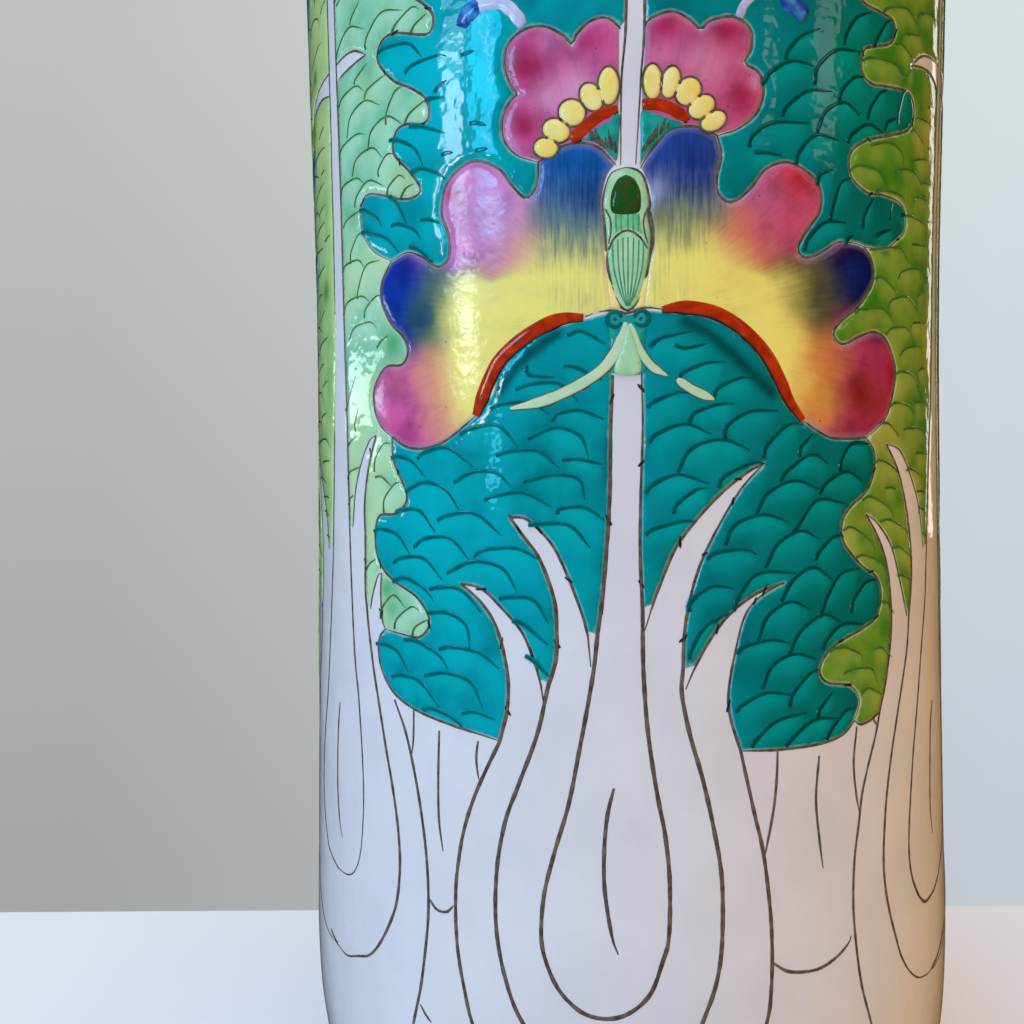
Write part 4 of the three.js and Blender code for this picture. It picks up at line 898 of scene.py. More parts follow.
def wing_enamel(name, ground):
    """Opaque rose, blue and yellow enamels, brushed wet into each other: soft, with the hair lines of a brush
    drawn straight down below the head and outwards elsewhere, and fine specks where they mixed."""
    material, tree, shader = new_finish(name, Roughness=0.13, IOR=1.5)
    place = glaze_ripple(tree, shader, 6, 0.1, 1.3)
    upright, edge = value_at(tree, "upright"), value_at(tree, "edge")
    outward = noise(tree, value_at(tree, "brush", "Vector"), PER_METRE, 4.0, Roughness=0.55)
    hair = add_node(tree, "ShaderNodeVectorMath", {"operation": "MULTIPLY"}, i0=place, i1=HAIR_LINES)
    down = noise(tree, hair.outputs[0], PER_METRE, 3.0, Roughness=0.6)
    streak = maths(tree, "MULTIPLY_ADD", maths(tree, "SUBTRACT", down, outward), upright, outward)
    cloud = noise(tree, place, 4.5, 3.0)
    soft = maths(tree, "MULTIPLY_ADD", cloud, 0.35, value_at(tree, "reach"))
    stretched = maths(tree, "MULTIPLY_ADD", streak, curve_range(tree, upright, 0.0, 1.0, 0.14, 0.55), soft)
    reach = maths(tree, "SUBTRACT", stretched, curve_range(tree, upright, 0.0, 1.0, 0.24, 0.42))
    first, second = curve_range(tree, reach, -0.1, 0.55), curve_range(tree, reach, 0.4, 1.1)
    for share in (first, second):
        share.node.interpolation_type = "SMOOTHSTEP"
    between = mix_colour(tree, first, srgb(ground), value_at(tree, "middle", "Color"))
    body = mix_colour(tree, second, between, value_at(tree, "lobe", "Color"))
    lines = maths(tree, "MULTIPLY", curve_range(tree, streak, 0.42, 0.7),
                  curve_range(tree, upright, 0.0, 1.0, 0.16, 0.45))
    worked = maths(tree, "MULTIPLY", curve_range(tree, reach, 0.12, 0.7), lines)
    lined = mix_colour(tree, worked, body, srgb("#a09e9a"), "MULTIPLY")
    thick = maths(tree, "MULTIPLY", second, curve_range(tree, cloud, 0.42, 0.68, 0.0, 0.5))
    uneven = mix_colour(tree, thick, lined, srgb("#a8a2a8"), "MULTIPLY")
    distance, own = cells(tree, place, 1.6)
    some = maths(tree, "LESS_THAN", own, curve_range(tree, first, 0.1, 1.0, 0.03, 0.25))
    dot = maths(tree, "MULTIPLY", some, curve_range(tree, distance, 0.07, 0.12, 0.8, 0.0))
    specked = mix_colour(tree, dot, uneven, srgb("#303842"))
    pale = mix_colour(tree, curve_range(tree, edge, 0.0, 1.0, 0.2, 0.0), specked, srgb("#c4c6ee"))
    thin = mix_colour(tree, curve_range(tree, edge, 0.0, 0.2, 0.4, 0.0), pale, srgb("#eee9ea"))
    tree.links.new(thin, shader.inputs["Base Color"])
    return material


def plain_enamel(name, colour, second, cell_mm=3.0, rough=0.1, ripple=(5, 0.08), shade=None):
    """A small touch of one enamel, a little uneven. shade is its colour where the painted shade on the leaf round it
    is deepest.
    """
    material, tree, shader = new_finish(name, Roughness=rough, IOR=1.5)
    place = glaze_ripple(tree, shader, *ripple)
    tone = mottled(tree, place, cell_mm, 3.0, 0.35, 0.65, colour, second)
    if shade:
        # Painted shade, as on the teal round it
        tone = mix_colour(tree, value_at(tree, "painted_shade"), tone, srgb(shade))
    tree.links.new(tone, shader.inputs["Base Color"])
    return material


CLAY = porcelain()
FOOT = biscuit()
# Leaf enamel colours: deep, plain, light, pool, shade and rim. Towards the right of the teal the shade colour is
# painted shade; mixed with deep it also darkens the brush above each arc.
TEAL = leaf_enamel("copper_teal_enamel", "#007f88", "#00a6ae", "#00bcba", "#00a8bc", "#006860", "#94d6d0")
# One green enamel for the narrow leaves in three painted-light copies: cool and pale for the half that faces the
# window, olive in warm shade for the half on the other side, and a paler copy of that half where it shows on the
# window side
GREEN_WINDOW_LIT = leaf_enamel("green_enamel_painted_window_light", "#79c69c", "#9bdcba", "#c0ebc8", "#c2e2a6", "#5fa05a", "#dcefd2")
GREEN_PALE_LIT = leaf_enamel("green_enamel_painted_pale_light", "#8fc474", "#aed890", "#c8e6ac", "#c4dc90", "#6aa858", "#e0ecc8")
GREEN_WARM_SHADED = leaf_enamel("green_enamel_painted_warm_shade", "#3b8418", "#76a236", "#a9c05e", "#aeb24e", "#3a7814", "#dfe4b4")
WING = wing_enamel("rose_blue_yellow_enamels", "#f3ec7c")
BODY_GREEN = plain_enamel("pale_green_enamel", "#93cfa0", "#b3e0b6")
TAIL_CREAM = plain_enamel("cream_green_enamel", "#a9d6b2", "#c9e0b8", 6.0)
STRIPE_GREEN = plain_enamel("stripe_green_enamel", "#3f8f5c", "#5aa574", 1.0)
BAND_GREEN = plain_enamel("mid_green_enamel", "#5dbd86", "#7fcf9c", 1.6)
SPOT_GREEN = plain_enamel("deep_green_enamel", "#0c5a1c", "#3c4a26", 1.0, 0.06)
BEAD_YELLOW = plain_enamel("lead_tin_yellow_enamel", "#efdd70", "#f5ea9a")
IRON_RED = plain_enamel("iron_red_enamel", "#c2380c", "#9c2606", 2.0)
SKY = plain_enamel("cobalt_wash_enamel", "#4a8cd8", "#1d459c", 1.8)
HORN_WHITE = plain_enamel("blue_white_enamel", "#a9b4dc", "#cdd2ea", 2.5)
HATCH_GREY = plain_enamel("umber_hatching", "#36463c", "#5c6450", 0.9, 0.12)
TEAL_TOUCH = plain_enamel("teal_touch_enamel", "#0a8f8c", "#2aa596", 1.6, 0.08, LEAF_RIPPLE)
INK = plain_enamel("manganese_brown_ink", "#4c4237", "#756858", 1.2, 0.2)
DARK_INK = plain_enamel("manganese_black_ink", "#23201f", "#3c3833", 1.2, 0.16)
# The last colour of these two inks is painted shade, taken on towards the right like the teal's
TEAL_INK = plain_enamel("ink_under_teal", "#065a62", "#087078", 2.4, 0.07, LEAF_RIPPLE, "#034440")
TEAL_SOFT = plain_enamel("thin_ink_under_teal", "#00868c", "#009296", 2.4, 0.07, LEAF_RIPPLE, "#005c57")
GREEN_INK = plain_enamel("ink_under_green", "#3a6a34", "#5a7a3a", 2.4, 0.07, LEAF_RIPPLE)


# Clay

def lathe(name, profile, material):
    """A revolved piece from (radius, height) points that close on themselves or on the axis."""
    profile = np.asarray(profile, float)
    turn = np.linspace(0, 2 * math.pi, LATHE_STEPS, endpoint=False)
    points, rings = [], []
    for radius, z in profile:
        if radius < 1e-6:
            rings.append([len(points)] * LATHE_STEPS)
            points.append((0, 0, z * MM))
        else:
            rings.append(list(range(len(points), len(points) + LATHE_STEPS)))
            points += [(radius * math.sin(a) * MM, -radius * math.cos(a) * MM, z * MM) for a in turn]
    faces = []
    pairs = list(zip(rings, rings[1:])) + ([] if profile[0, 0] < 1e-6 else [(rings[-1], rings[0])])
    for low, high in pairs:
        for i in range(LATHE_STEPS):
            j = (i + 1) % LATHE_STEPS
            corners = [low[i], low[j], high[j], high[i]]
            face = [c for k, c in enumerate(corners) if c not in corners[:k]]
            if len(face) > 2:
                faces.append(face)
    mesh = bpy.data.meshes.new(name)
    mesh.from_pydata(points, [], faces)
    mesh.shade_smooth()
    mesh.materials.append(material)
    obj = bpy.data.objects.new(name, mesh)
    bpy.context.collection.objects.link(obj)
    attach(obj, "root")
    return obj


LIP_RADIUS = 67.3
LIP_THICKNESS = 3.6
LIP_ROUNDING = 2.4

lip = [
    (LIP_RADIUS - LIP_THICKNESS * (1 - math.cos(a)) / 2, HEIGHT - LIP_ROUNDING + LIP_ROUNDING * math.sin(a))
    for a in np.linspace(0, math.pi, 15)
]
inner = curve_through([
    (63.7, 287.6), (61.2, 279), (59.4, 262), (57.4, 232), (56.2, 192), (55.2, 140), (55.4, 60), (55.5, 38),
    (54.6, 24), (51.6, 16.5), (44, 12.6), (30, 11.4), (14, 10.8), (0, 10.7),
], 3.0)
outside = [(r, z) for z, r in OUTER[:-1]]
underside = [(0, 5.6), (48.5, 5.6), (49.6, 6.0), (50.2, 6.0)]
wall = lathe("glazed_body", underside + outside + lip[:-1] + inner.tolist()[:-1] + [(0, 10.7)], CLAY)
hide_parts("cylinder_wall", "base_disc")

foot = lathe("turned_foot", [
    (50.6, 0.0), (53.4, 0.0), (54.0, 0.15), (54.4, 0.6), (55.2, 2.4), (56.2, 5.5), (56.3, 5.85), (50.0, 5.85),
    (49.6, 5.2), (50.0, 0.6), (50.2, 0.2),
], FOOT)
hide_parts("foot_ring")


# Colour values painted into the fields

WING_FOCUS = np.array([1.2, 138.0])
# Each lobe of a wing, from the top down: the border below it (notch, inner end), its colour, the colour
# between it and the yellow, and the distances from the focus where it is still yellow and where it has its
# full colour. The first lobe of a lower wing is brushed straight down: there they are heights.
LOBES = {
    "lower_wing_left": [
        ((-13.9, 158.3), (-12.5, 147), "#1162b2", "#6f8c80", 146, 161.5),
        ((-28, 150), (1.2, 138), "#d882c6", "#e6a592", 16, 26),
        ((-36.1, 136.7), (1.2, 138), "#0034aa", "#5a7b66", 27, 38),
        (None, None, "#d85f9e", "#e49a7c", 27, 38.5)],
    "lower_wing_right": [
        ((16.8, 156.9), (12.5, 147), "#244a9e", "#80906c", 148, 162),
        ((28, 150), (1.2, 138), "#cf5682", "#da7c68", 17, 28),
        ((34.9, 138.3), (1.2, 138), "#010450", "#5b603a", 23, 38),
        (None, None, "#b43c68", "#d88e4c", 25, 39)],
    "upper_wing_left": [(None, None, "#d25f9f", "#d25f9f", -9, -5)],
    "upper_wing_right": [(None, None, "#cf5c90", "#cf5c90", -9, -5)],
}
# Soft touches of other colours, and some painted light: place, size, colour and strength
DABS_AND_PAINTED_LIGHT = {
    "lower_wing_left": [
        ((-6, 159.5), 3.2, "#0a4592", 0.5), ((-2.5, 157), 2.3, "#0a3a80", 0.8), ((-13, 161.5), 1.6, "#5474bc", 0.5),
        ((-26.5, 160.5), 1.6, "#b03070", 0.8), ((-22, 163.5), 1.8, "#b84a88", 0.5),
        ((-18.5, 156), 4, "#d8a6d4", 0.7), ((-38, 149.5), 4, "#0d349c", 0.9), ((-33.5, 142), 4.2, "#21505c", 0.8),
        ((-30.5, 150.3), 2.4, "#2c5a66", 0.6), ((-36, 123), 2.4, "#b03a7c", 0.8),
        ((-41.5, 131.5), 2.5, "#b8569c", 0.6), ((-44, 129), 1.8, "#dcaed6", 0.7), ((-38, 133.2), 2.6, "#c46a70", 0.5),
    ],
    "lower_wing_right": [
        ((10, 162), 2.6, "#1c3492", 0.6), ((14, 159.5), 2, "#1c2c80", 0.6), ((5.4, 158.6), 1.9, "#98a4d6", 0.8),
        ((28, 161), 3, "#cb3034", 0.85), ((21.5, 157.5), 3, "#bb6a92", 0.6), ((40.5, 129), 4.2, "#962a10", 0.85),
        ((46.5, 127.5), 2.5, "#b02c30", 0.6), ((48.5, 133), 2.4, "#a01838", 0.7), ((37, 140), 2.5, "#a84068", 0.5),
        ((39, 148), 4, "#0e2a7c", 0.8), ((32, 128), 3, "#e0b048", 0.5),
    ],
    "upper_wing_left": [
        ((-13.2, 178), 3.6, "#b42259", 0.95), ((-4.6, 180.5), 2.6, "#b42c68", 0.85),
        ((-14.3, 169), 2.6, "#b4225c", 0.95), ((-8.5, 178.5), 3, "#b44c8c", 0.5), ((-6, 173.6), 3.4, "#dfa8cf", 0.75),
        ((-10, 181.5), 2, "#d48cc0", 0.5), ((-16.6, 172), 1.4, "#a82450", 0.6), ((-10.5, 172.8), 2.2, "#d498c6", 0.7),
        ((-17, 166), 1.6, "#d8a8d8", 0.6), ((-2.5, 176), 2.5, "#bf5c9c", 0.7),
    ],
    "upper_wing_right": [
        ((7, 182.7), 2.2, "#b42259", 0.9), ((10.5, 180.3), 2.2, "#a83a70", 0.7), ((16, 182), 2.6, "#b42259", 0.95),
        ((18.3, 172.3), 3.1, "#b42656", 0.9), ((12.5, 177), 3.6, "#dd9fc0", 0.45), ((6, 177.5), 2.2, "#d88ab4", 0.5),
        ((20.6, 175), 1.3, "#d0a0c4", 0.5),
    ],
    # The big pale touches on the left of the teal are painted light from the window side
    "teal_leaf_upper_left": [((-31, 178), 13, "#00c0d2", 0.7), ((-24, 230), 26, "#00b6c4", 0.4)],
    "teal_leaf_lower_left": [((-33, 108), 11, "#00b4c4", 0.55), ((-5, 134), 9, "#00969c", 0.4)],
    "teal_leaf_upper_right": [((40, 178), 10, "#00a090", 0.4)],
    "green_leaf_right": [
        ((-39.5, 138.5), 2.2, "#3fa060", 0.7), ((-50, 161), 1.8, "#43a268", 0.5), ((-41.5, 98.5), 1.4, "#3f9c58", 0.7),
        ((-40, 95.5), 2, "#4ea868", 0.7), ((-44.5, 184), 2.6, "#4aa46c", 0.5), ((-36, 163.5), 3, "#b4d49a", 0.6),
        ((-52, 100), 8, "#b9cf94", 0.4),
    ],
    "green_leaf_left": [
        ((57, 181.8), 2.3, "#3a921c", 0.8), ((59.7, 190.4), 2, "#3a921c", 0.8), ((46.8, 152.5), 1.3, "#1f7a2a", 0.9),
        ((62.5, 151), 2.2, "#2f8622", 0.8), ((50.3, 113), 2, "#2f8622", 0.8), ((46, 92), 2, "#2f8622", 0.9),
        ((47.5, 167.5), 3, "#3a921c", 0.7), ((50, 165), 2, "#2f8622", 0.8), ((40.5, 106.5), 1.6, "#2f8622", 0.8),
        ((38, 86), 1.5, "#3a8a2a", 0.7),
    ],
}


# Soft dark lines under the red bars: half width and path
SHADOWS = {
    "teal_leaf_lower_left": [(1.0, [(-18.4, 129.4), (-16.2, 132.4), (-13.4, 135), (-9.4, 137.6)])],
    "teal_leaf_lower_right": [(1.1, [(9.6, 139.1), (13, 137.4), (16.5, 134.6), (19.8, 131.6), (23.2, 128.6)])],
}


def written(colour, count):
    return np.tile(srgb(colour), (count, 1))


def fading(points, place, size):
    """1 at a place, fading out over about that size."""
    return np.exp(-(np.linalg.norm(points - place, axis=1) / size) ** 2)


def paint_wing(name, sheet):
    """Lobe colour, the colour between, how far it reaches in, and the direction of the brush."""
    away = sheet.flat - WING_FOCUS
    count = len(away)
    angle = np.degrees(np.arctan2(np.abs(away[:, 0]), away[:, 1]))
    radius = np.linalg.norm(away, axis=1)
    lobe, middle, reach = np.zeros((count, 4)), np.zeros((count, 4)), np.zeros(count)
    side = 1 if "left" in name else -1
    rest, first = np.ones(count), None
    for notch, inner, tint, between, yellow, full in LOBES[name]:
        share = rest
        if notch:
            line, to = np.subtract(inner, notch), sheet.flat - notch
            off = side * (line[0] * to[:, 1] - line[1] * to[:, 0]) / np.hypot(*line)
            share = rest / (1 + np.exp(-(off + 0.5 * np.sin(radius * 0.9)) / 0.9))
        rest = rest - share
        first = share if first is None else first
        lobe += share[:, None] * np.array(srgb(tint))
        middle += share[:, None] * np.array(srgb(between))
        reach += share * ((sheet.flat[:, 1] if full > 100 else radius) - yellow) / (full - yellow)
    for place, size, tint, strength in DABS_AND_PAINTED_LIGHT[name]:
        share = strength * fading(sheet.flat, place, size)
        lobe += share[:, None] * (np.array(srgb(tint)) - lobe)
        middle += share[:, None] * (np.array(srgb(tint)) - middle)
        reach = np.maximum(reach, share * 1.1)
    across = angle * 1.1
    sheet.values.update(lobe=lobe, middle=middle, reach=reach, upright=first * ("lower" in name),
                        brush=np.column_stack([across, radius * 0.16, across * 0]))


# Where painted shade begins on the teal towards the right, and over what width, in millimetres round the wall
PAINTED_SHADE_FROM = -22.0
PAINTED_SHADE_OVER = 62.0


def painted_shade_share(points):
    """How much painted shade the teal takes, from none at its paler left to all of it at its right."""
    return np.clip((points[:, 0] - PAINTED_SHADE_FROM) / PAINTED_SHADE_OVER, 0, 1)


def paint_leaf(name, sheet, paths):
    """Tone from the scale strokes, touches of other greens, painted light on the left of the teal, and painted shade
    towards its right.
    """
    sheet.values["tone"] = arc_tone(sheet.flat, paths)
    colour, strength = written("#ffffff", len(sheet.flat)), np.zeros(len(sheet.flat))
    # Touches of other colours, and painted light on the left of the teal
    for place, size, tint, most in DABS_AND_PAINTED_LIGHT.get(name, ()):
        share = most * fading(sheet.flat, place, size)
        colour += (share > strength)[:, None] * (np.array(srgb(tint)) - colour)
        strength = np.maximum(strength, share)
    for width, points in SHADOWS.get(name, ()):
        near = edge_distance(curve_through(list(points) + list(points[::-1]), SHADOW_STEP), sheet.flat)
        share = 0.85 * np.exp(-(near / width) ** 2)
        colour += (share > strength)[:, None] * (np.array(srgb("#02403e")) - colour)
        strength = np.maximum(strength, share)
    colour[:, 3] = strength
    sheet.values["dab_and_painted_light"] = colour
    # Painted shade towards the right, on the teal only
    sheet.values["painted_shade"] = painted_shade_share(sheet.flat) if "teal" in name else strength * 0


# How each field is finished and which slot it takes, by the start of its name
# The two halves of each narrow leaf take the window-lit and the warm-shaded copies of one green: painted light and
# shade
FIELD_LOOKS = {
    "teal": (TEAL, "teal_enamel"), "green_leaf_right": (GREEN_WINDOW_LIT, "green_enamel"),
    "green_leaf_left": (GREEN_WARM_SHADED, "green_enamel"), "lower": (WING, "pink_enamel"), "upper": (WING, "pink_enamel"),
    "butterfly": (BODY_GREEN, "pale_green_enamel"),
}
# This leaf half lies on the third repeat, on the window side, and takes the paler copy of the green: painted light
PALE_LIT_FIELD = ("green_leaf_left", 2)

teal_strokes, green_strokes, teal_soft = Strokes(), Strokes(), Strokes()
for number, (name, runs) in enumerate(FIELDS.items()):
    contour = outline_of(runs)
    sheet = enamel_sheet(contour, WING_GRID if "wing" in name or "body" in name else LEAF_GRID)
    if name in SCALES:
        paths = scale_paths(name, drawn_in(contour, 0.4), number)
        paint_leaf(name, sheet, paths)
        strokes = teal_strokes if "teal" in name else green_strokes
        for scale in paths:
            strokes.add(scale, 0.45, ENAMEL_RISE + 0.015, 0.9, 0.3, 0.5, 0.1)
            if "teal" in name:
                teal_soft.add(scale, 0.85, ENAMEL_RISE, 0.8, 0.4, 0.45, 0.1)
    if name in LOBES:
        paint_wing(name, sheet)
    material, slot = next(look for key, look in FIELD_LOOKS.items() if name.startswith(key))
    for index in range(REPEATS):
        node = f"{name}_{index + 1}"
        piece(f"enamel_{node}", [(sheet, index)], GREEN_PALE_LIT if (name, index) == PALE_LIT_FIELD else material, [node])


# Ink drawing of one repeat

def joined(*runs):
    return np.vstack(runs)


ink = Strokes()
for run in (LEAF_EDGE_LEFT, LEAF_EDGE_RIGHT, *LEAF_CROWN_LEFT, *LEAF_CROWN_RIGHT, *NARROW_CROWN_LEFT,
            *NARROW_CROWN_RIGHT, UPPER_WING_LEFT, UPPER_WING_RIGHT, WING_SEAM_LEFT, WING_SEAM_RIGHT,
            LOWER_WING_LEFT, LOWER_WING_RIGHT, LOWER_TIP_LEFT, LOWER_TIP_RIGHT, WING_FOOT_LEFT, WING_FOOT_RIGHT,
            LEAF_SKIRT_LEFT, LEAF_SKIRT_RIGHT, LEAF_HEM_LEFT, LEAF_HEM_RIGHT, NARROW_HEM_RIGHT, MIDRIB_UPPER_LEFT,
            MIDRIB_UPPER_RIGHT):
    ink.add(sparser(run), 0.4)
for run in (BODY, NARROW_MIDRIB_LEFT[1], NARROW_MIDRIB_LEFT[2], NARROW_MIDRIB_RIGHT[1], NARROW_MIDRIB_RIGHT[2],
            NARROW_STEMS_LEFT[0], NARROW_STEMS_LEFT[2], NARROW_STEMS_LEFT[3], NARROW_STEMS_RIGHT[0],
            NARROW_STEMS_RIGHT[2]):
    ink.add(sparser(run), 0.36)

# The middle stem, its bulb, and the two loops round it. Its ink ends under the green between the tails.
MIDRIB_TOP = 131.6
ink.add(sparser(joined(back(MIDRIB_LEFT[MIDRIB_LEFT[:, 1] < MIDRIB_TOP]), curve_through([
    (-3.6, 92.5), (-4.1, 87.9), (-5.1, 82), (-6.3, 75.8), (-8, 67.4), (-10.2, 60), (-11.8, 53.7), (-12.3, 48),
    (-11.8, 44.3), (-9.9, 40), (-7.2, 37.2), (-4.6, 36), (-1.3, 36), (1.6, 37.4), (4, 40), (5.6, 44.3),
    (6.6, 48), (6.8, 56.1), (6.2, 62.9), (5.2, 68.3), (4.3, 74), (3.6, 79.9), (3.2, 86.5), (3.1, 91), (3.1, 96.5),
]), MIDRIB_RIGHT[MIDRIB_RIGHT[:, 1] < MIDRIB_TOP])), 0.64)
ink.add(sparser(joined(back(STEM_L1[0]), curve_through([
    (-11, 85.1), (-12.8, 77.5), (-15.7, 69.9), (-18, 63.8), (-19.4, 56.2), (-19.5, 47.8), (-18, 40.3),
    (-15.3, 34), (-10, 28.5), (-3, 26), (4, 26.5), (9, 29), (11.5, 35.4), (13.5, 40.8), (14.5, 46.7),
    (14.6, 56.2), (13.4, 64), (11.8, 71.3), (9.9, 78.1), (8.8, 84), (9, 87.4),
]), STEM_R1[0])), 0.66)
ink.add(sparser(joined(back(STEM_L2[0]), curve_through([
    (-18.8, 76.1), (-21.5, 70.8), (-23.3, 66.9), (-24.9, 62.4), (-25.9, 57.9), (-26.6, 52), (-26.3, 44),
    (-24.7, 36), (-23.7, 32.4), (-21.5, 27), (-17, 21), (-9, 17), (-2, 16), (6, 16.5), (14, 20), (18.5, 25),
    (21.5, 34.8), (22.1, 38.7), (22.4, 44.6), (22.2, 51), (21.2, 59.6), (19.8, 65.7), (18.1, 73.3), (17.7, 75.2),
]), STEM_R2[0])), 0.62)
for start, run, end in (
    ([(-21, 112.9), (-18, 111.7)], STEM_L1[1], (-4.6, 87.9)),
    ([], STEM_L2[1], (-11.7, 81.7)),
    ([], STEM_R1[1], (3.4, 93.3)),
    ([], STEM_R2[1], (9.4, 84.6)),
):
    ink.add(sparser(joined(np.array(start).reshape(-1, 2), run, [end])), 0.42)

# The outer loops of the narrow leaves, and the lines between them
ink.add(sparser(joined(NARROW_STEMS_LEFT[1], curve_through([
    (-47.1, 95), (-46.6, 91.9), (-45.1, 85.1), (-43.5, 79.2), (-41.8, 72.8), (-40, 66.3), (-38.7, 60.1),
    (-38.2, 54), (-38.9, 48.1), (-40.6, 44), (-43.2, 40), (-46.2, 37.2), (-49.9, 35.9), (-54, 34.7), (-58, 35.2),
]))), 0.6)
ink.add(sparser(joined(NARROW_STEMS_RIGHT[1], curve_through([
    (53.8, 93.5), (53.1, 88.8), (51.7, 84.3), (50.3, 80.3), (48.9, 76.1), (47.5, 71.6), (46.4, 67.1),
    (45.6, 62.5), (45, 56), (45.3, 51.3), (46.3, 47), (47.7, 43), (49.5, 38.9), (52.2, 35.7), (55.4, 33.7),
    (59.2, 33), (61, 33.1),
]))), 0.55)
ink.add(sparser(joined(NARROW_STEMS_RIGHT[3], curve_through([
    (44.5, 79), (43.3, 75.3), (41.4, 70.8), (39.9, 66.6), (39.1, 62.3), (38, 56.6), (37.6, 49.9), (38, 43.8),
    (38.6, 39.5), (39.5, 35.7), (41.4, 30.5), (43, 26), (44.5, 21), (45, 17),
]))), 0.5)
for width, run in (
    (0.55, [(-39.5, 80.6), (-36.7, 75.3), (-34.2, 66.9), (-32.5, 57.9), (-31.9, 50), (-32.2, 44), (-33.4, 36),
            (-35.2, 29.4), (-36.5, 24), (-37, 18)]),
    (0.4, [(-35, 79.6), (-35.1, 74.7), (-35.5, 72.2)]),
    (0.45, [(-29.7, 76.7), (-29.9, 69.9), (-29.8, 62.9), (-29, 57.9)]),
    (0.4, [(-22.5, 75.8), (-22.8, 74), (-22.8, 72.2), (-22.4, 69.9)]),
    (0.4, [(-33.6, 32.8), (-32.5, 31.4), (-31.4, 30.5)]),
    (0.45, [(-31.7, 49.9), (-30.1, 48.5), (-28.2, 48.6), (-27, 49.8)]),
    (0.6, [(-1.3, 69.9), (-2.3, 65.7), (-2.8, 60), (-2.7, 54.5), (-1.7, 48), (-0.8, 45.4)]),
    (0.45, [(23.7, 74.9), (23.5, 70.8), (22.9, 66), (21.3, 58.8)]),
    (0.45, [(31.1, 73.5), (30.4, 67.1), (30.9, 61.2), (31.6, 56.3)]),
    (0.5, [(22.6, 43.2), (25.3, 41.6), (30.1, 41.2), (33.9, 42.4), (36.6, 44.2), (37, 45.1)]),
    (0.45, [(38.9, 77.2), (38.1, 71.9), (38.5, 67.1), (39.2, 63.8)]),
    (0.4, [(42.4, 78.5), (43.8, 76.7)]),
    (0.45, [(0.3, 139), (-0.6, 136), (-1.8, 133.5), (-3.5, 131), (-6.5, 129), (-10, 127.3), (-13, 126.7),
            (-16.5, 126.1)]),
    (0.45, [(2, 138.5), (3.5, 134.5), (5.5, 131.8), (7.5, 130), (8.7, 129.2), (11, 127.8), (14.2, 126.9)]),
    (0.4, [(-13.1, 184.1), (-13.9, 185.5), (-15.2, 187), (-16.7, 188.1), (-19, 188.9)]),
    (0.4, [(-14.7, 183.8), (-15.8, 184.7), (-16.7, 185.5), (-18, 185.9)]),
    (0.4, [(16.7, 184.1), (17.3, 185.4), (18.4, 187.5), (20.5, 189.4), (23.5, 189.8), (26.5, 188.9)]),
    (0.4, [(19.1, 183.9), (19.6, 185.2), (20.4, 186.2), (21.9, 186.7), (23.5, 186.5), (24.8, 185.7),
           (25.8, 184.7)]),
    (0.4, [(-5.1, 140.1), (-3.5, 140.7), (-1.8, 140.9), (0, 140.6), (1.2, 140.3), (2.6, 140.9), (4.3, 141.2),
           (6.2, 140.9)]),
):
    ink.add(sparser(curve_through(run)), width)

# The middle lines of the narrow leaves cross from one repeat to the next
NARROW_LINE_FRONT = curve_through([
    (-56.3, 268), (-55.3, 200), (-55.1, 150), (-54.2, 128), (-53, 106), (-51.4, 88), (-49.9, 80), (-48.6, 70),
    (-48.2, 62), (-49.1, 54), (-51.1, 50), (-54, 48.6), (-58, 48.6),
])
narrow_ink = Strokes()
for run in (
    NARROW_LINE_FRONT,
    [(-58, 48.6), (-61.5, 49.9), (-64.5, 52), (-67.9, 60), (-67, 70), (-64.2, 80), (-61.4, 100), (-60.6, 114),
     (-60, 128), (-59.4, 146), (-59, 170), (-58.5, 190), (-58, 268)],
    [(-57.4, 77.8), (-58.3, 71.9), (-58.5, 63.5), (-57.6, 57.5), (-56.2, 54.4)],
    [(69.3, 268), (69, 200), (68.3, 180), (67.6, 160), (66.8, 136), (64.3, 119), (62.1, 103.6), (61, 96),
     (58.9, 88), (57, 80), (54.6, 70), (52.8, 58), (53.2, 52), (55.2, 48.1), (57.6, 45.8), (60, 45.3),
     (64.8, 46.5), (68.9, 49.4), (72, 52.6), (73.5, 58), (74, 62), (73.5, 70), (72.6, 85), (72.3, 100),
     (71.5, 120), (71, 146), (71.5, 190), (71.7, 268)],
    [(64.5, 78.2), (63.2, 74.7), (62.6, 69.1), (62.3, 60.7), (63.4, 55.6)],
    [(-58, 35.2), (-60, 35.9), (-62, 36.7)],
    [(61, 33.1), (65.1, 34.1), (68.9, 36.1), (72.3, 38.4)],
    to_repeat(1, NARROW_LINE_FRONT[::6]),
    to_repeat(2, NARROW_LINE_FRONT[::6]),
):
    narrow_ink.add(sparser(curve_through(run)), 0.55)

# Butterfly: red bars, rings, body, beads, tails and antennae
red, dark_ink, rings = Strokes(), Strokes(), Strokes()
for width, head, run in (
    (2.1, 0.6, [(-22.6, 125.9), (-21.5, 128.8), (-20.2, 131.6), (-18.7, 134), (-16.1, 136.3), (-13, 138.2),
                (-10.1, 139.5), (-7.8, 140), (-5.4, 139.9)]),
    (1.9, 0.45, [(6.2, 140.8), (8.5, 141.2), (11.4, 141.1), (14.5, 140.4), (17.6, 138.8), (20.6, 136.4),
                 (22.9, 133.8), (24.8, 130.5), (26.3, 127.6), (28.6, 124.7)]),
    (1.8, 0.6, [(-6.9, 166.2), (-4.8, 168.1), (-2.4, 169.8), (-0.1, 170.5)]),
    (1.8, 0.7, [(3.5, 170.9), (5.6, 171), (8, 170.2), (10.3, 168.7)]),
):
    path = sparser(curve_through(run), TOUCH_STEP)
    red.add(path, width, ENAMEL_RISE, head, 0.5, waver=0.0)
    dark_ink.add(path, width + 0.42, BAR_INK_LIFT, head, 0.5, waver=0.05)
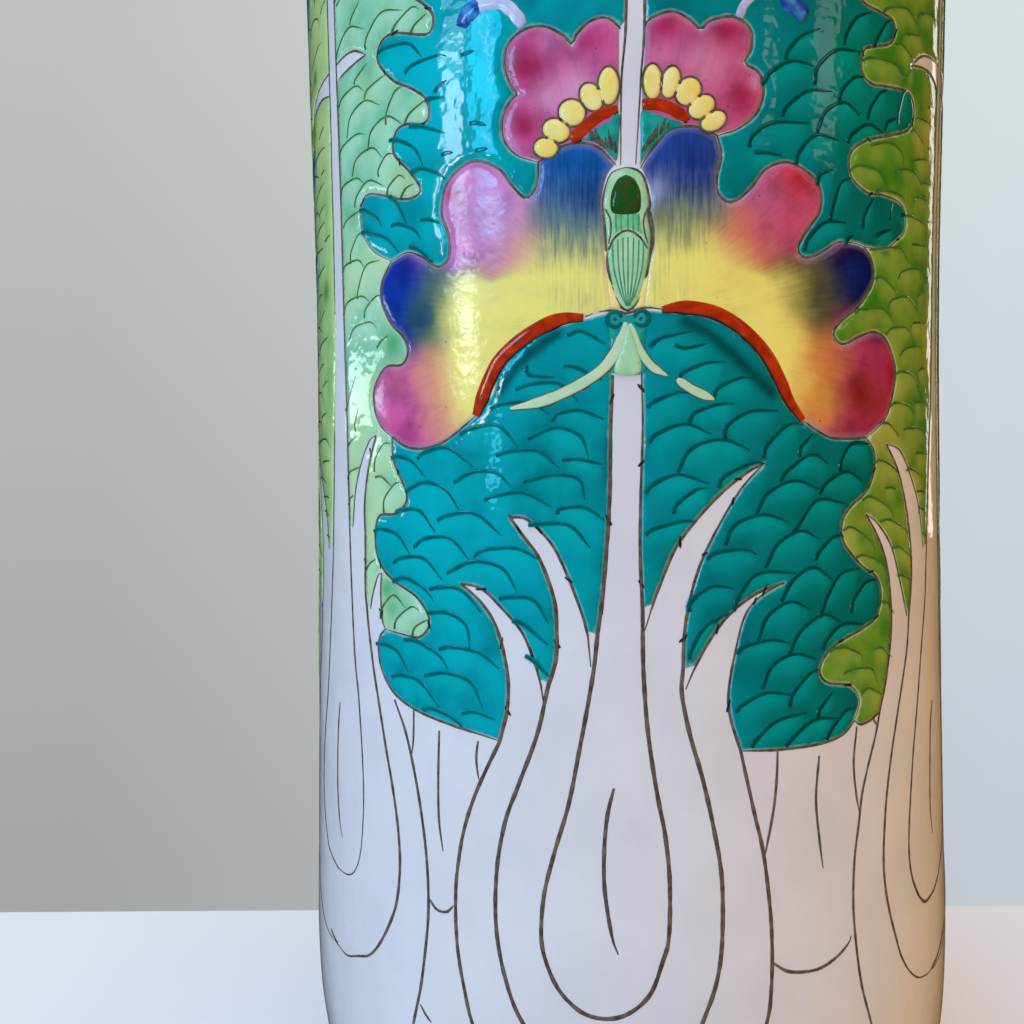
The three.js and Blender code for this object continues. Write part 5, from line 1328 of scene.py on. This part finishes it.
for width, run in (
    (0.55, [(0.3, 139.8), (-0.3, 140.6), (-1.3, 140.5), (-1.9, 139.6), (-1.5, 138.6), (-0.4, 138.3), (0.3, 139)]),
    (0.55, [(2.1, 139.8), (2.7, 140.6), (3.7, 140.6), (4.4, 139.8), (4.1, 138.8), (3, 138.4), (2.1, 139)]),
    (0.5, [(-0.9, 139.7), (-0.5, 139.3)]), (0.5, [(2.9, 139.3), (3.3, 139.7)]),
):
    rings.add(sparser(curve_through(run), TOUCH_STEP), width, RING_LIFT, 0.9, 0.6)
for width, run in (
    (0.34, [(-1.6, 149.8), (-0.6, 151.6), (1.2, 152.6), (3, 151.6), (4.2, 149.8)]),
    (0.3, [(4.4, 155.6), (4.9, 153.4), (5.0, 150.8), (4.5, 148.4)]),
    (0.26, [(-2.1, 155.9), (-1.3, 154.4), (-1.2, 152.6), (-1.6, 150.6)]),
    (0.26, [(4.3, 155.9), (3.6, 154.2), (3.7, 152.4), (4.2, 150.6)]),
):
    ink.add(sparser(curve_through(run), TOUCH_STEP), width, ENAMEL_RISE)

# Short dark marks where a brush line crosses the edge of a stem
chance = np.random.default_rng(5)
for run in (*STEM_L1, *STEM_L2, *STEM_R1, *STEM_R2, MIDRIB_LEFT, MIDRIB_RIGHT, NARROW_STEMS_LEFT[1],
            NARROW_STEMS_LEFT[3], NARROW_STEMS_RIGHT[0], LEAF_EDGE_LEFT, LEAF_EDGE_RIGHT, LEAF_SKIRT_LEFT,
            LEAF_SKIRT_RIGHT):
    at = chance.integers(6, 14)
    while at < len(run) - 3:
        along = run[at + 1] - run[at - 1]
        along = along / np.linalg.norm(along)
        lean = math.radians(chance.uniform(5, 50) * chance.choice([-1, 1]))
        aim = np.array([along[0] * math.cos(lean) - along[1] * math.sin(lean),
                        along[0] * math.sin(lean) + along[1] * math.cos(lean)])
        half = aim * chance.uniform(0.5, 1.1)
        dark_ink.add(sparser(np.array([run[at] - half, run[at] + half]), 0.4), 0.42, MARK_LIFT, 0.6, 0.4)
        at += chance.integers(14, 40)


def oval(centre, wide, high, turn):
    """An oval outline with half sizes and a turn in degrees, anticlockwise."""
    a = np.linspace(0, 2 * math.pi, 28, endpoint=False)
    r = math.radians(turn)
    u, v = wide * np.cos(a), high * np.sin(a)
    return np.column_stack([centre[0] + u * math.cos(r) - v * math.sin(r),
                            centre[1] + u * math.sin(r) + v * math.cos(r)])


beads, bead_ink = [], Strokes()
for s, z, wide, high, turn in (
    (-1.4, 173.9, 1.65, 2.9, 0), (-3.9, 172.4, 1.7, 2.3, 28), (-6.8, 170.3, 2.0, 2.2, 50),
    (-9.2, 167.9, 1.8, 2.3, 62), (-10.8, 165.5, 1.6, 2.0, 75), (5, 174.3, 1.5, 2.7, 0),
    (7.6, 174.2, 1.5, 2.5, -14), (10.2, 172.9, 1.9, 2.3, -35), (12.2, 170.7, 1.7, 2.3, -55),
    (14, 168.7, 1.5, 2.2, -60),
):
    ring = oval((s, z), wide, high, turn)
    beads.append(enamel_sheet(ring, WING_GRID, base=0.2, rise=0.25))
    bead_ink.add(sparser(joined(ring, ring[:1]), TOUCH_STEP), 0.31, EDGE_INK_LIFT, 1, 1)

# Teal-green touches under the small red bars, hatched dark, and the ground between the tails
hatch = Strokes()
touches = [enamel_sheet(curve_through(run + run[:1])[:-1], TOUCH_GRID, base=0.14, rise=0.14) for run in (
    [(-6.6, 166.1), (-4.6, 165.9), (-2.5, 165), (-0.3, 162.8), (0.2, 166), (0.2, 169.9), (-2.3, 168.9),
     (-4.6, 167.7)],
    [(3, 162), (4.1, 163.6), (5.6, 165.4), (7.6, 167.2), (9.6, 167.9), (8, 169.3), (5.6, 170.2), (3.3, 170.2),
     (3.1, 166)],
    [(-1.6, 131.4), (3.8, 131.4), (3.95, 136), (3.95, 140.6), (1.2, 140.2), (-1.7, 140.5), (-1.6, 136)],
)]
for first, last, lines in (
    ((-3.9, 166.1), (-0.5, 164), 10), ((3.5, 164), (7, 167.4), 11),
):
    for share in np.linspace(0, 1, lines):
        start = np.array(first) * (1 - share) + np.array(last) * share + chance.normal(0, 0.12, 2)
        lean = 0.3 if start[0] > 1 else -0.3
        tall = chance.uniform(1.2, 3.2) * (1 - 0.5 * abs(share - 0.7))
        hatch.add([start, start + (lean * 0.4, tall * 0.5), start + (lean, tall)], 0.42, HATCH_LIFT, 0.9, 0.2)
between_tails = enamel_sheet(curve_through([
    (1.1, 138.9), (0.2, 135.6), (-0.9, 131.5), (3.1, 131.5), (2.6, 135.5), (1.4, 138.9), (1.1, 138.9)])[:-1],
    WING_GRID, base=0.3, rise=0.1)

spot = enamel_sheet(curve_through([
    (1.05, 160.6), (2.1, 160.1), (2.9, 158.6), (3.1, 156.9), (2.8, 155.3), (1.05, 155), (-0.8, 155.3), (-1.1, 156.9),
    (-0.8, 158.6), (0, 160.1), (1.05, 160.6)])[:-1], WING_GRID, base=0.2, rise=0.3)
gaps = [enamel_sheet(np.array(run), WING_GRID, rise=0.17) for run in (
    [(-2.6, 150), (-2.35, 147), (-2.0, 144), (-1.5, 140.8), (0.9, 140.7), (0.1, 142.5), (-0.6, 144.5), (-1.5, 150)],
    [(5.4, 150), (4.3, 150), (3.4, 145.5), (2.4, 142.4), (1.5, 140.8), (3.9, 140.9), (4.3, 144), (4.8, 146.6)],
)]
band = enamel_sheet(curve_through([
    (-0.7, 155.1), (-0.95, 153.4), (-1.05, 151.7), (-0.2, 152.1), (1.2, 152.7), (2.6, 152.1), (3.6, 151.5),
    (3.35, 153.4), (2.95, 155.1), (1.2, 155.3), (-0.7, 155.1)])[:-1], WING_GRID, base=0.2, rise=0.1)
stripes = Strokes()
for s in (-1.0, -0.2, 0.55, 1.3, 2.1, 2.9, 3.6):
    stripes.add(sparser(curve_through([(s, 150.4 + 1.2 * math.cos(0.5 * (s - 1.2))), (s * 0.9 + 0.1, 147),
                                       (0.5 * s + 0.6, 143.5), (1.1 + 0.1 * s, 141.4)]), 0.6), 0.22,
                ENAMEL_RISE + 0.01, 0.8, 0.5)
for s in (-0.5, 0.3, 1.3, 2.1, 2.9):
    stripes.add(sparser(np.array([(s, 155), (s * 0.95 + 0.06, 152.4)]), 0.6), 0.22, HEAD_LINE_LIFT, 0.8, 0.5)

tails, tail_ink, sky, horns = Strokes(), Strokes(), Strokes(), Strokes()
for width, run in (
    (1.6, [(0.9, 139), (0.2, 136.4), (-0.9, 134.2), (-2.7, 132), (-6, 129.9), (-9.8, 128.2), (-13, 127.3),
           (-16.8, 126.7)]),
    (1.2, [(1.5, 138.8), (2.7, 135.4), (4.6, 132.5), (7, 131)]),
    (1.3, [(8.4, 130.5), (10.8, 128.9), (14, 127.5)]),
):
    path = sparser(curve_through(run), TOUCH_STEP)
    tails.add(path, width, TAIL_LIFT, 0.4, 0.25, waver=0.05)
    tail_ink.add(path, width + 0.28, EDGE_INK_LIFT, 0.45, 0.35, waver=0.1)
for width, run in (
    (2.2, [(-14, 184), (-14.9, 185.4), (-16.2, 187), (-18.2, 188), (-21.4, 188.1), (-23.2, 187.2)]),
    (1.6, [(17.9, 184.1), (18.6, 186), (20.6, 188), (23.5, 188.3), (26, 187.2)]),
):
    horns.add(sparser(curve_through(run), TOUCH_STEP), width, HORN_LIFT, 0.8, 0.8)
for run in ([(-24.1, 185.6), (-23.4, 186.9), (-22.2, 187.8), (-20.6, 188.2)],
            [(28.9, 185.6), (27, 186.6), (25.4, 187.2), (24.2, 187.4)]):
    sky.add(curve_through(run), 3.0, TIP_LIFT, 0.7, 0.3)

WHOLE = range(REPEATS)
for name, strokes, material, dome in (
    ("ink_lines", ink, INK, 0.2), ("teal_scale_strokes", teal_strokes, TEAL_INK, 0.03),
    ("teal_scale_shadows", teal_soft, TEAL_SOFT, 0.015),
    ("green_scale_strokes", green_strokes, GREEN_INK, 0.07),
):
    sheet = stroke_sheet(strokes, material, dome, 6)
    # The strokes carry the teal's painted shade towards the right; only the teal inks read it
    sheet.values["painted_shade"] = painted_shade_share(sheet.points)
    for index in WHOLE:
        piece(f"{name}_{index + 1}", [(sheet, index)], material)
for name, strokes, material, dome in (
    ("red_bars", red, IRON_RED, 0.2), ("dark_marks", dark_ink, DARK_INK, 0.1), ("bead_rings", bead_ink, INK, 0.3),
    ("tail_rings", rings, TEAL_INK, 0.02), ("body_stripes", stripes, STRIPE_GREEN, 0.06),
    ("wing_tails", tails, TAIL_CREAM, 0.06), ("tail_edges", tail_ink, INK, 0.03),
    ("hatching", hatch, HATCH_GREY, 0.1), ("antennae", horns, HORN_WHITE, 0.2), ("antenna_tips", sky, SKY, 0.2),
):
    sheet = stroke_sheet(strokes, material, dome)
    piece(name, [(sheet, index) for index in WHOLE], material)
piece("narrow_leaf_lines", [(stroke_sheet(narrow_ink, INK, 0.2, 6), None)], INK)
for name, sheets, material in (("wing_beads", beads + gaps, BEAD_YELLOW), ("teal_touches", touches, TEAL_TOUCH),
                               ("pale_ground", [between_tails], BODY_GREEN), ("head_spot", [spot], SPOT_GREEN),
                               ("body_band", [band], BAND_GREEN)):
    piece(name, [(sheet, index) for index in WHOLE for sheet in sheets], material)


# Room: the table top, light by direction, and the panes that the glaze mirrors

def lamp(name, place, aim, wide, high, watts, colour, use):
    """A soft box at a place, facing a point. use says whether it is mirrored in glossy things, or lights."""
    data = bpy.data.lights.new(name, "AREA")
    data.shape = "RECTANGLE"
    data.size, data.size_y = wide, high
    data.energy = watts
    data.color = colour
    obj = bpy.data.objects.new(name, data)
    bpy.context.collection.objects.link(obj)
    obj.location = place
    obj.rotation_euler = (Vector(aim) - Vector(place)).to_track_quat("-Z", "Y").to_euler()
    obj.visible_camera = False
    obj.visible_glossy = use == "glossy"
    obj.visible_diffuse = use == "diffuse"


# The table top in metres, square to the camera
TABLE_BACK = 0.0855
TABLE_FRONT = -1.2
TABLE_HALF_WIDTH = 0.75
TABLE_THICK = 0.03


def table_top():
    """A pale board. The glaze doesn't mirror it and takes no light from it."""
    turn = Matrix.Rotation(CAMERA_TURN, 3, "Z")
    corners = [(side * TABLE_HALF_WIDTH, y) for side, y in (
        (-1, TABLE_FRONT), (1, TABLE_FRONT), (1, TABLE_BACK), (-1, TABLE_BACK))]
    mesh = bpy.data.meshes.new("table_top")
    mesh.from_pydata([turn @ Vector((x, y, z)) for z in (0, -TABLE_THICK) for x, y in corners], [], [
        (0, 1, 2, 3), (7, 6, 5, 4), (0, 4, 5, 1), (1, 5, 6, 2), (2, 6, 7, 3), (3, 7, 4, 0)])
    finish, _, _ = new_finish("painted_table_top", Base_Color=srgb("#e0e8f4"), Roughness=0.6)
    mesh.materials.append(finish)
    table = bpy.data.objects.new("table_top", mesh)
    bpy.context.collection.objects.link(table)
    table.visible_glossy = table.visible_diffuse = False


table_top()

# The room's light by azimuth in degrees, from the front (0) to the left (minus) and right (plus): even behind,
# cool on the window side, and warm on the other.
# The three colours are typed in near what a scratch fit to the porcelain in the photo gave.
EVEN_LIGHT = (0.75, 0.7, 0.65)
COOL_LIGHT = (0.83, 1.12, 1.5)
WARM_LIGHT = (0.87, 0.4, 0.0)
LIGHT_FROM = (
    (-180, EVEN_LIGHT), (-90, EVEN_LIGHT), (-50, COOL_LIGHT), (-15, COOL_LIGHT), (45, WARM_LIGHT), (85, WARM_LIGHT),
    (180, EVEN_LIGHT),
)
GLOSS_DARK = "#1e2022"


def room_world():
    """The light of the room, the backdrop that only the camera sees, and a dark room for the glaze to mirror."""
    world = bpy.data.worlds.new("room")
    bpy.context.scene.world = world
    world.use_nodes = True
    room = world.node_tree
    room.nodes.clear()
    toward = add_node(room, "ShaderNodeTexCoord").outputs["Generated"]
    x, y, z = add_node(room, "ShaderNodeSeparateXYZ", Vector=toward).outputs
    azimuth = maths(room, "ARCTAN2", x, maths(room, "MULTIPLY", y, -1.0))
    ramp = add_node(room, "ShaderNodeValToRGB", Fac=curve_range(room, azimuth, -math.pi, math.pi))
    stops = ramp.color_ramp.elements
    while len(stops) < len(LIGHT_FROM):
        stops.new(0.5)
    for stop, (degrees, _) in zip(stops, LIGHT_FROM):
        stop.position = (degrees + 180) / 360
    for stop, (_, colour) in zip(stops, LIGHT_FROM):
        stop.color = colour + (1,)
    across = curve_range(room, x, -0.44, 0.3)
    low = mix_colour(room, across, srgb("#a3a6a6"), srgb("#c4cad2"))
    high = mix_colour(room, across, srgb("#bfc1be"), srgb("#d7dfe3"))
    backdrop = mix_colour(room, curve_range(room, z, -0.3, 0.38), low, high)
    ray = add_node(room, "ShaderNodeLightPath").outputs
    seen = mix_colour(room, ray["Is Camera Ray"], ramp.outputs[0], backdrop)
    glass = mix_colour(room, ray["Is Glossy Ray"], seen, srgb(GLOSS_DARK))
    glow = add_node(room, "ShaderNodeBackground", Color=glass, Strength=1.0)
    add_node(room, "ShaderNodeOutputWorld", Surface=glow.outputs[0])


room_world()

# Window panes and lamps that the glaze mirrors: azimuth range, elevation range, strength and colour
MIRRORED = [
    (-62, -58.2, 11.5, 20.2, 12, (0.52, 0.78, 1)), (-57.8, -53, 13.3, 20, 12, (0.55, 0.8, 1)),
    (-49.5, -47.4, 13.4, 24, 12, (0.04, 0.6, 1)), (-47.1, -44.6, 13.1, 24, 12, (0.04, 0.6, 1)),
    (-44.3, -43.1, 13.6, 24, 14, (0.2, 0.7, 1)), (-42.9, -40, 13.2, 24, 11, (0.02, 0.55, 1)),
    (-60, -51, 20.8, 23, 5, (0.3, 0.7, 0.9)), (-58, -50.5, 7.6, 10.6, 15, (0.9, 1, 1)),
    (-46.2, -42.2, 1.7, 4.1, 8, (0.1, 0.65, 1)), (-117, -92, 4.1, 7.7, 5, (0.85, 1, 1)),
    (136, 141, -2, 26, 2, (1, 0.97, 0.92)), (46.8, 51.2, 17, 21, 1.5, (1, 1, 1)), (68.6, 77, 16, 22, 1.1, (1, 1, 1)),
]
MIRROR_FROM = Vector((0, -0.05, 0.14))
MIRROR_AWAY = 3.0


def window_pane(low, high, under, over, strength, colour):
    """A glowing pane that fills a range of directions, seen only in gloss."""
    across, up = math.radians(low + high) / 2, math.radians(under + over) / 2
    toward = Vector((math.sin(across) * math.cos(up), -math.cos(across) * math.cos(up), math.sin(up)))
    wide, tall = MIRROR_AWAY * math.radians(high - low), MIRROR_AWAY * math.radians(over - under)
    lamp("window_pane", MIRROR_FROM + toward * MIRROR_AWAY, MIRROR_FROM, wide, tall,
         strength * math.pi * wide * tall, colour, "glossy")


for pane in MIRRORED:
    window_pane(*pane)
lamp("ceiling", (0, -0.2, 1.6), (0, 0, 0), 1.0, 1.0, 10.5, (0.9, 1.0, 1.14), "diffuse")


def photo_camera():
    """The camera that took the photo."""
    data = bpy.data.cameras.new("camera")
    data.lens = CAMERA_LENS
    data.sensor_width = SENSOR_WIDTH
    data.clip_start = 0.01
    camera = bpy.data.objects.new("camera", data)
    bpy.context.collection.objects.link(camera)
    forward = Vector((-math.sin(CAMERA_TURN), math.cos(CAMERA_TURN), 0))
    turn = forward.to_track_quat("-Z", "Y").to_matrix().to_4x4()
    camera.matrix_world = Matrix.Translation(CAMERA_PLACE) @ turn @ Matrix.Rotation(-CAMERA_ROLL, 4, "Z")
    bpy.context.scene.camera = camera


photo_camera()
bpy.context.scene.view_settings.view_transform = "Standard"
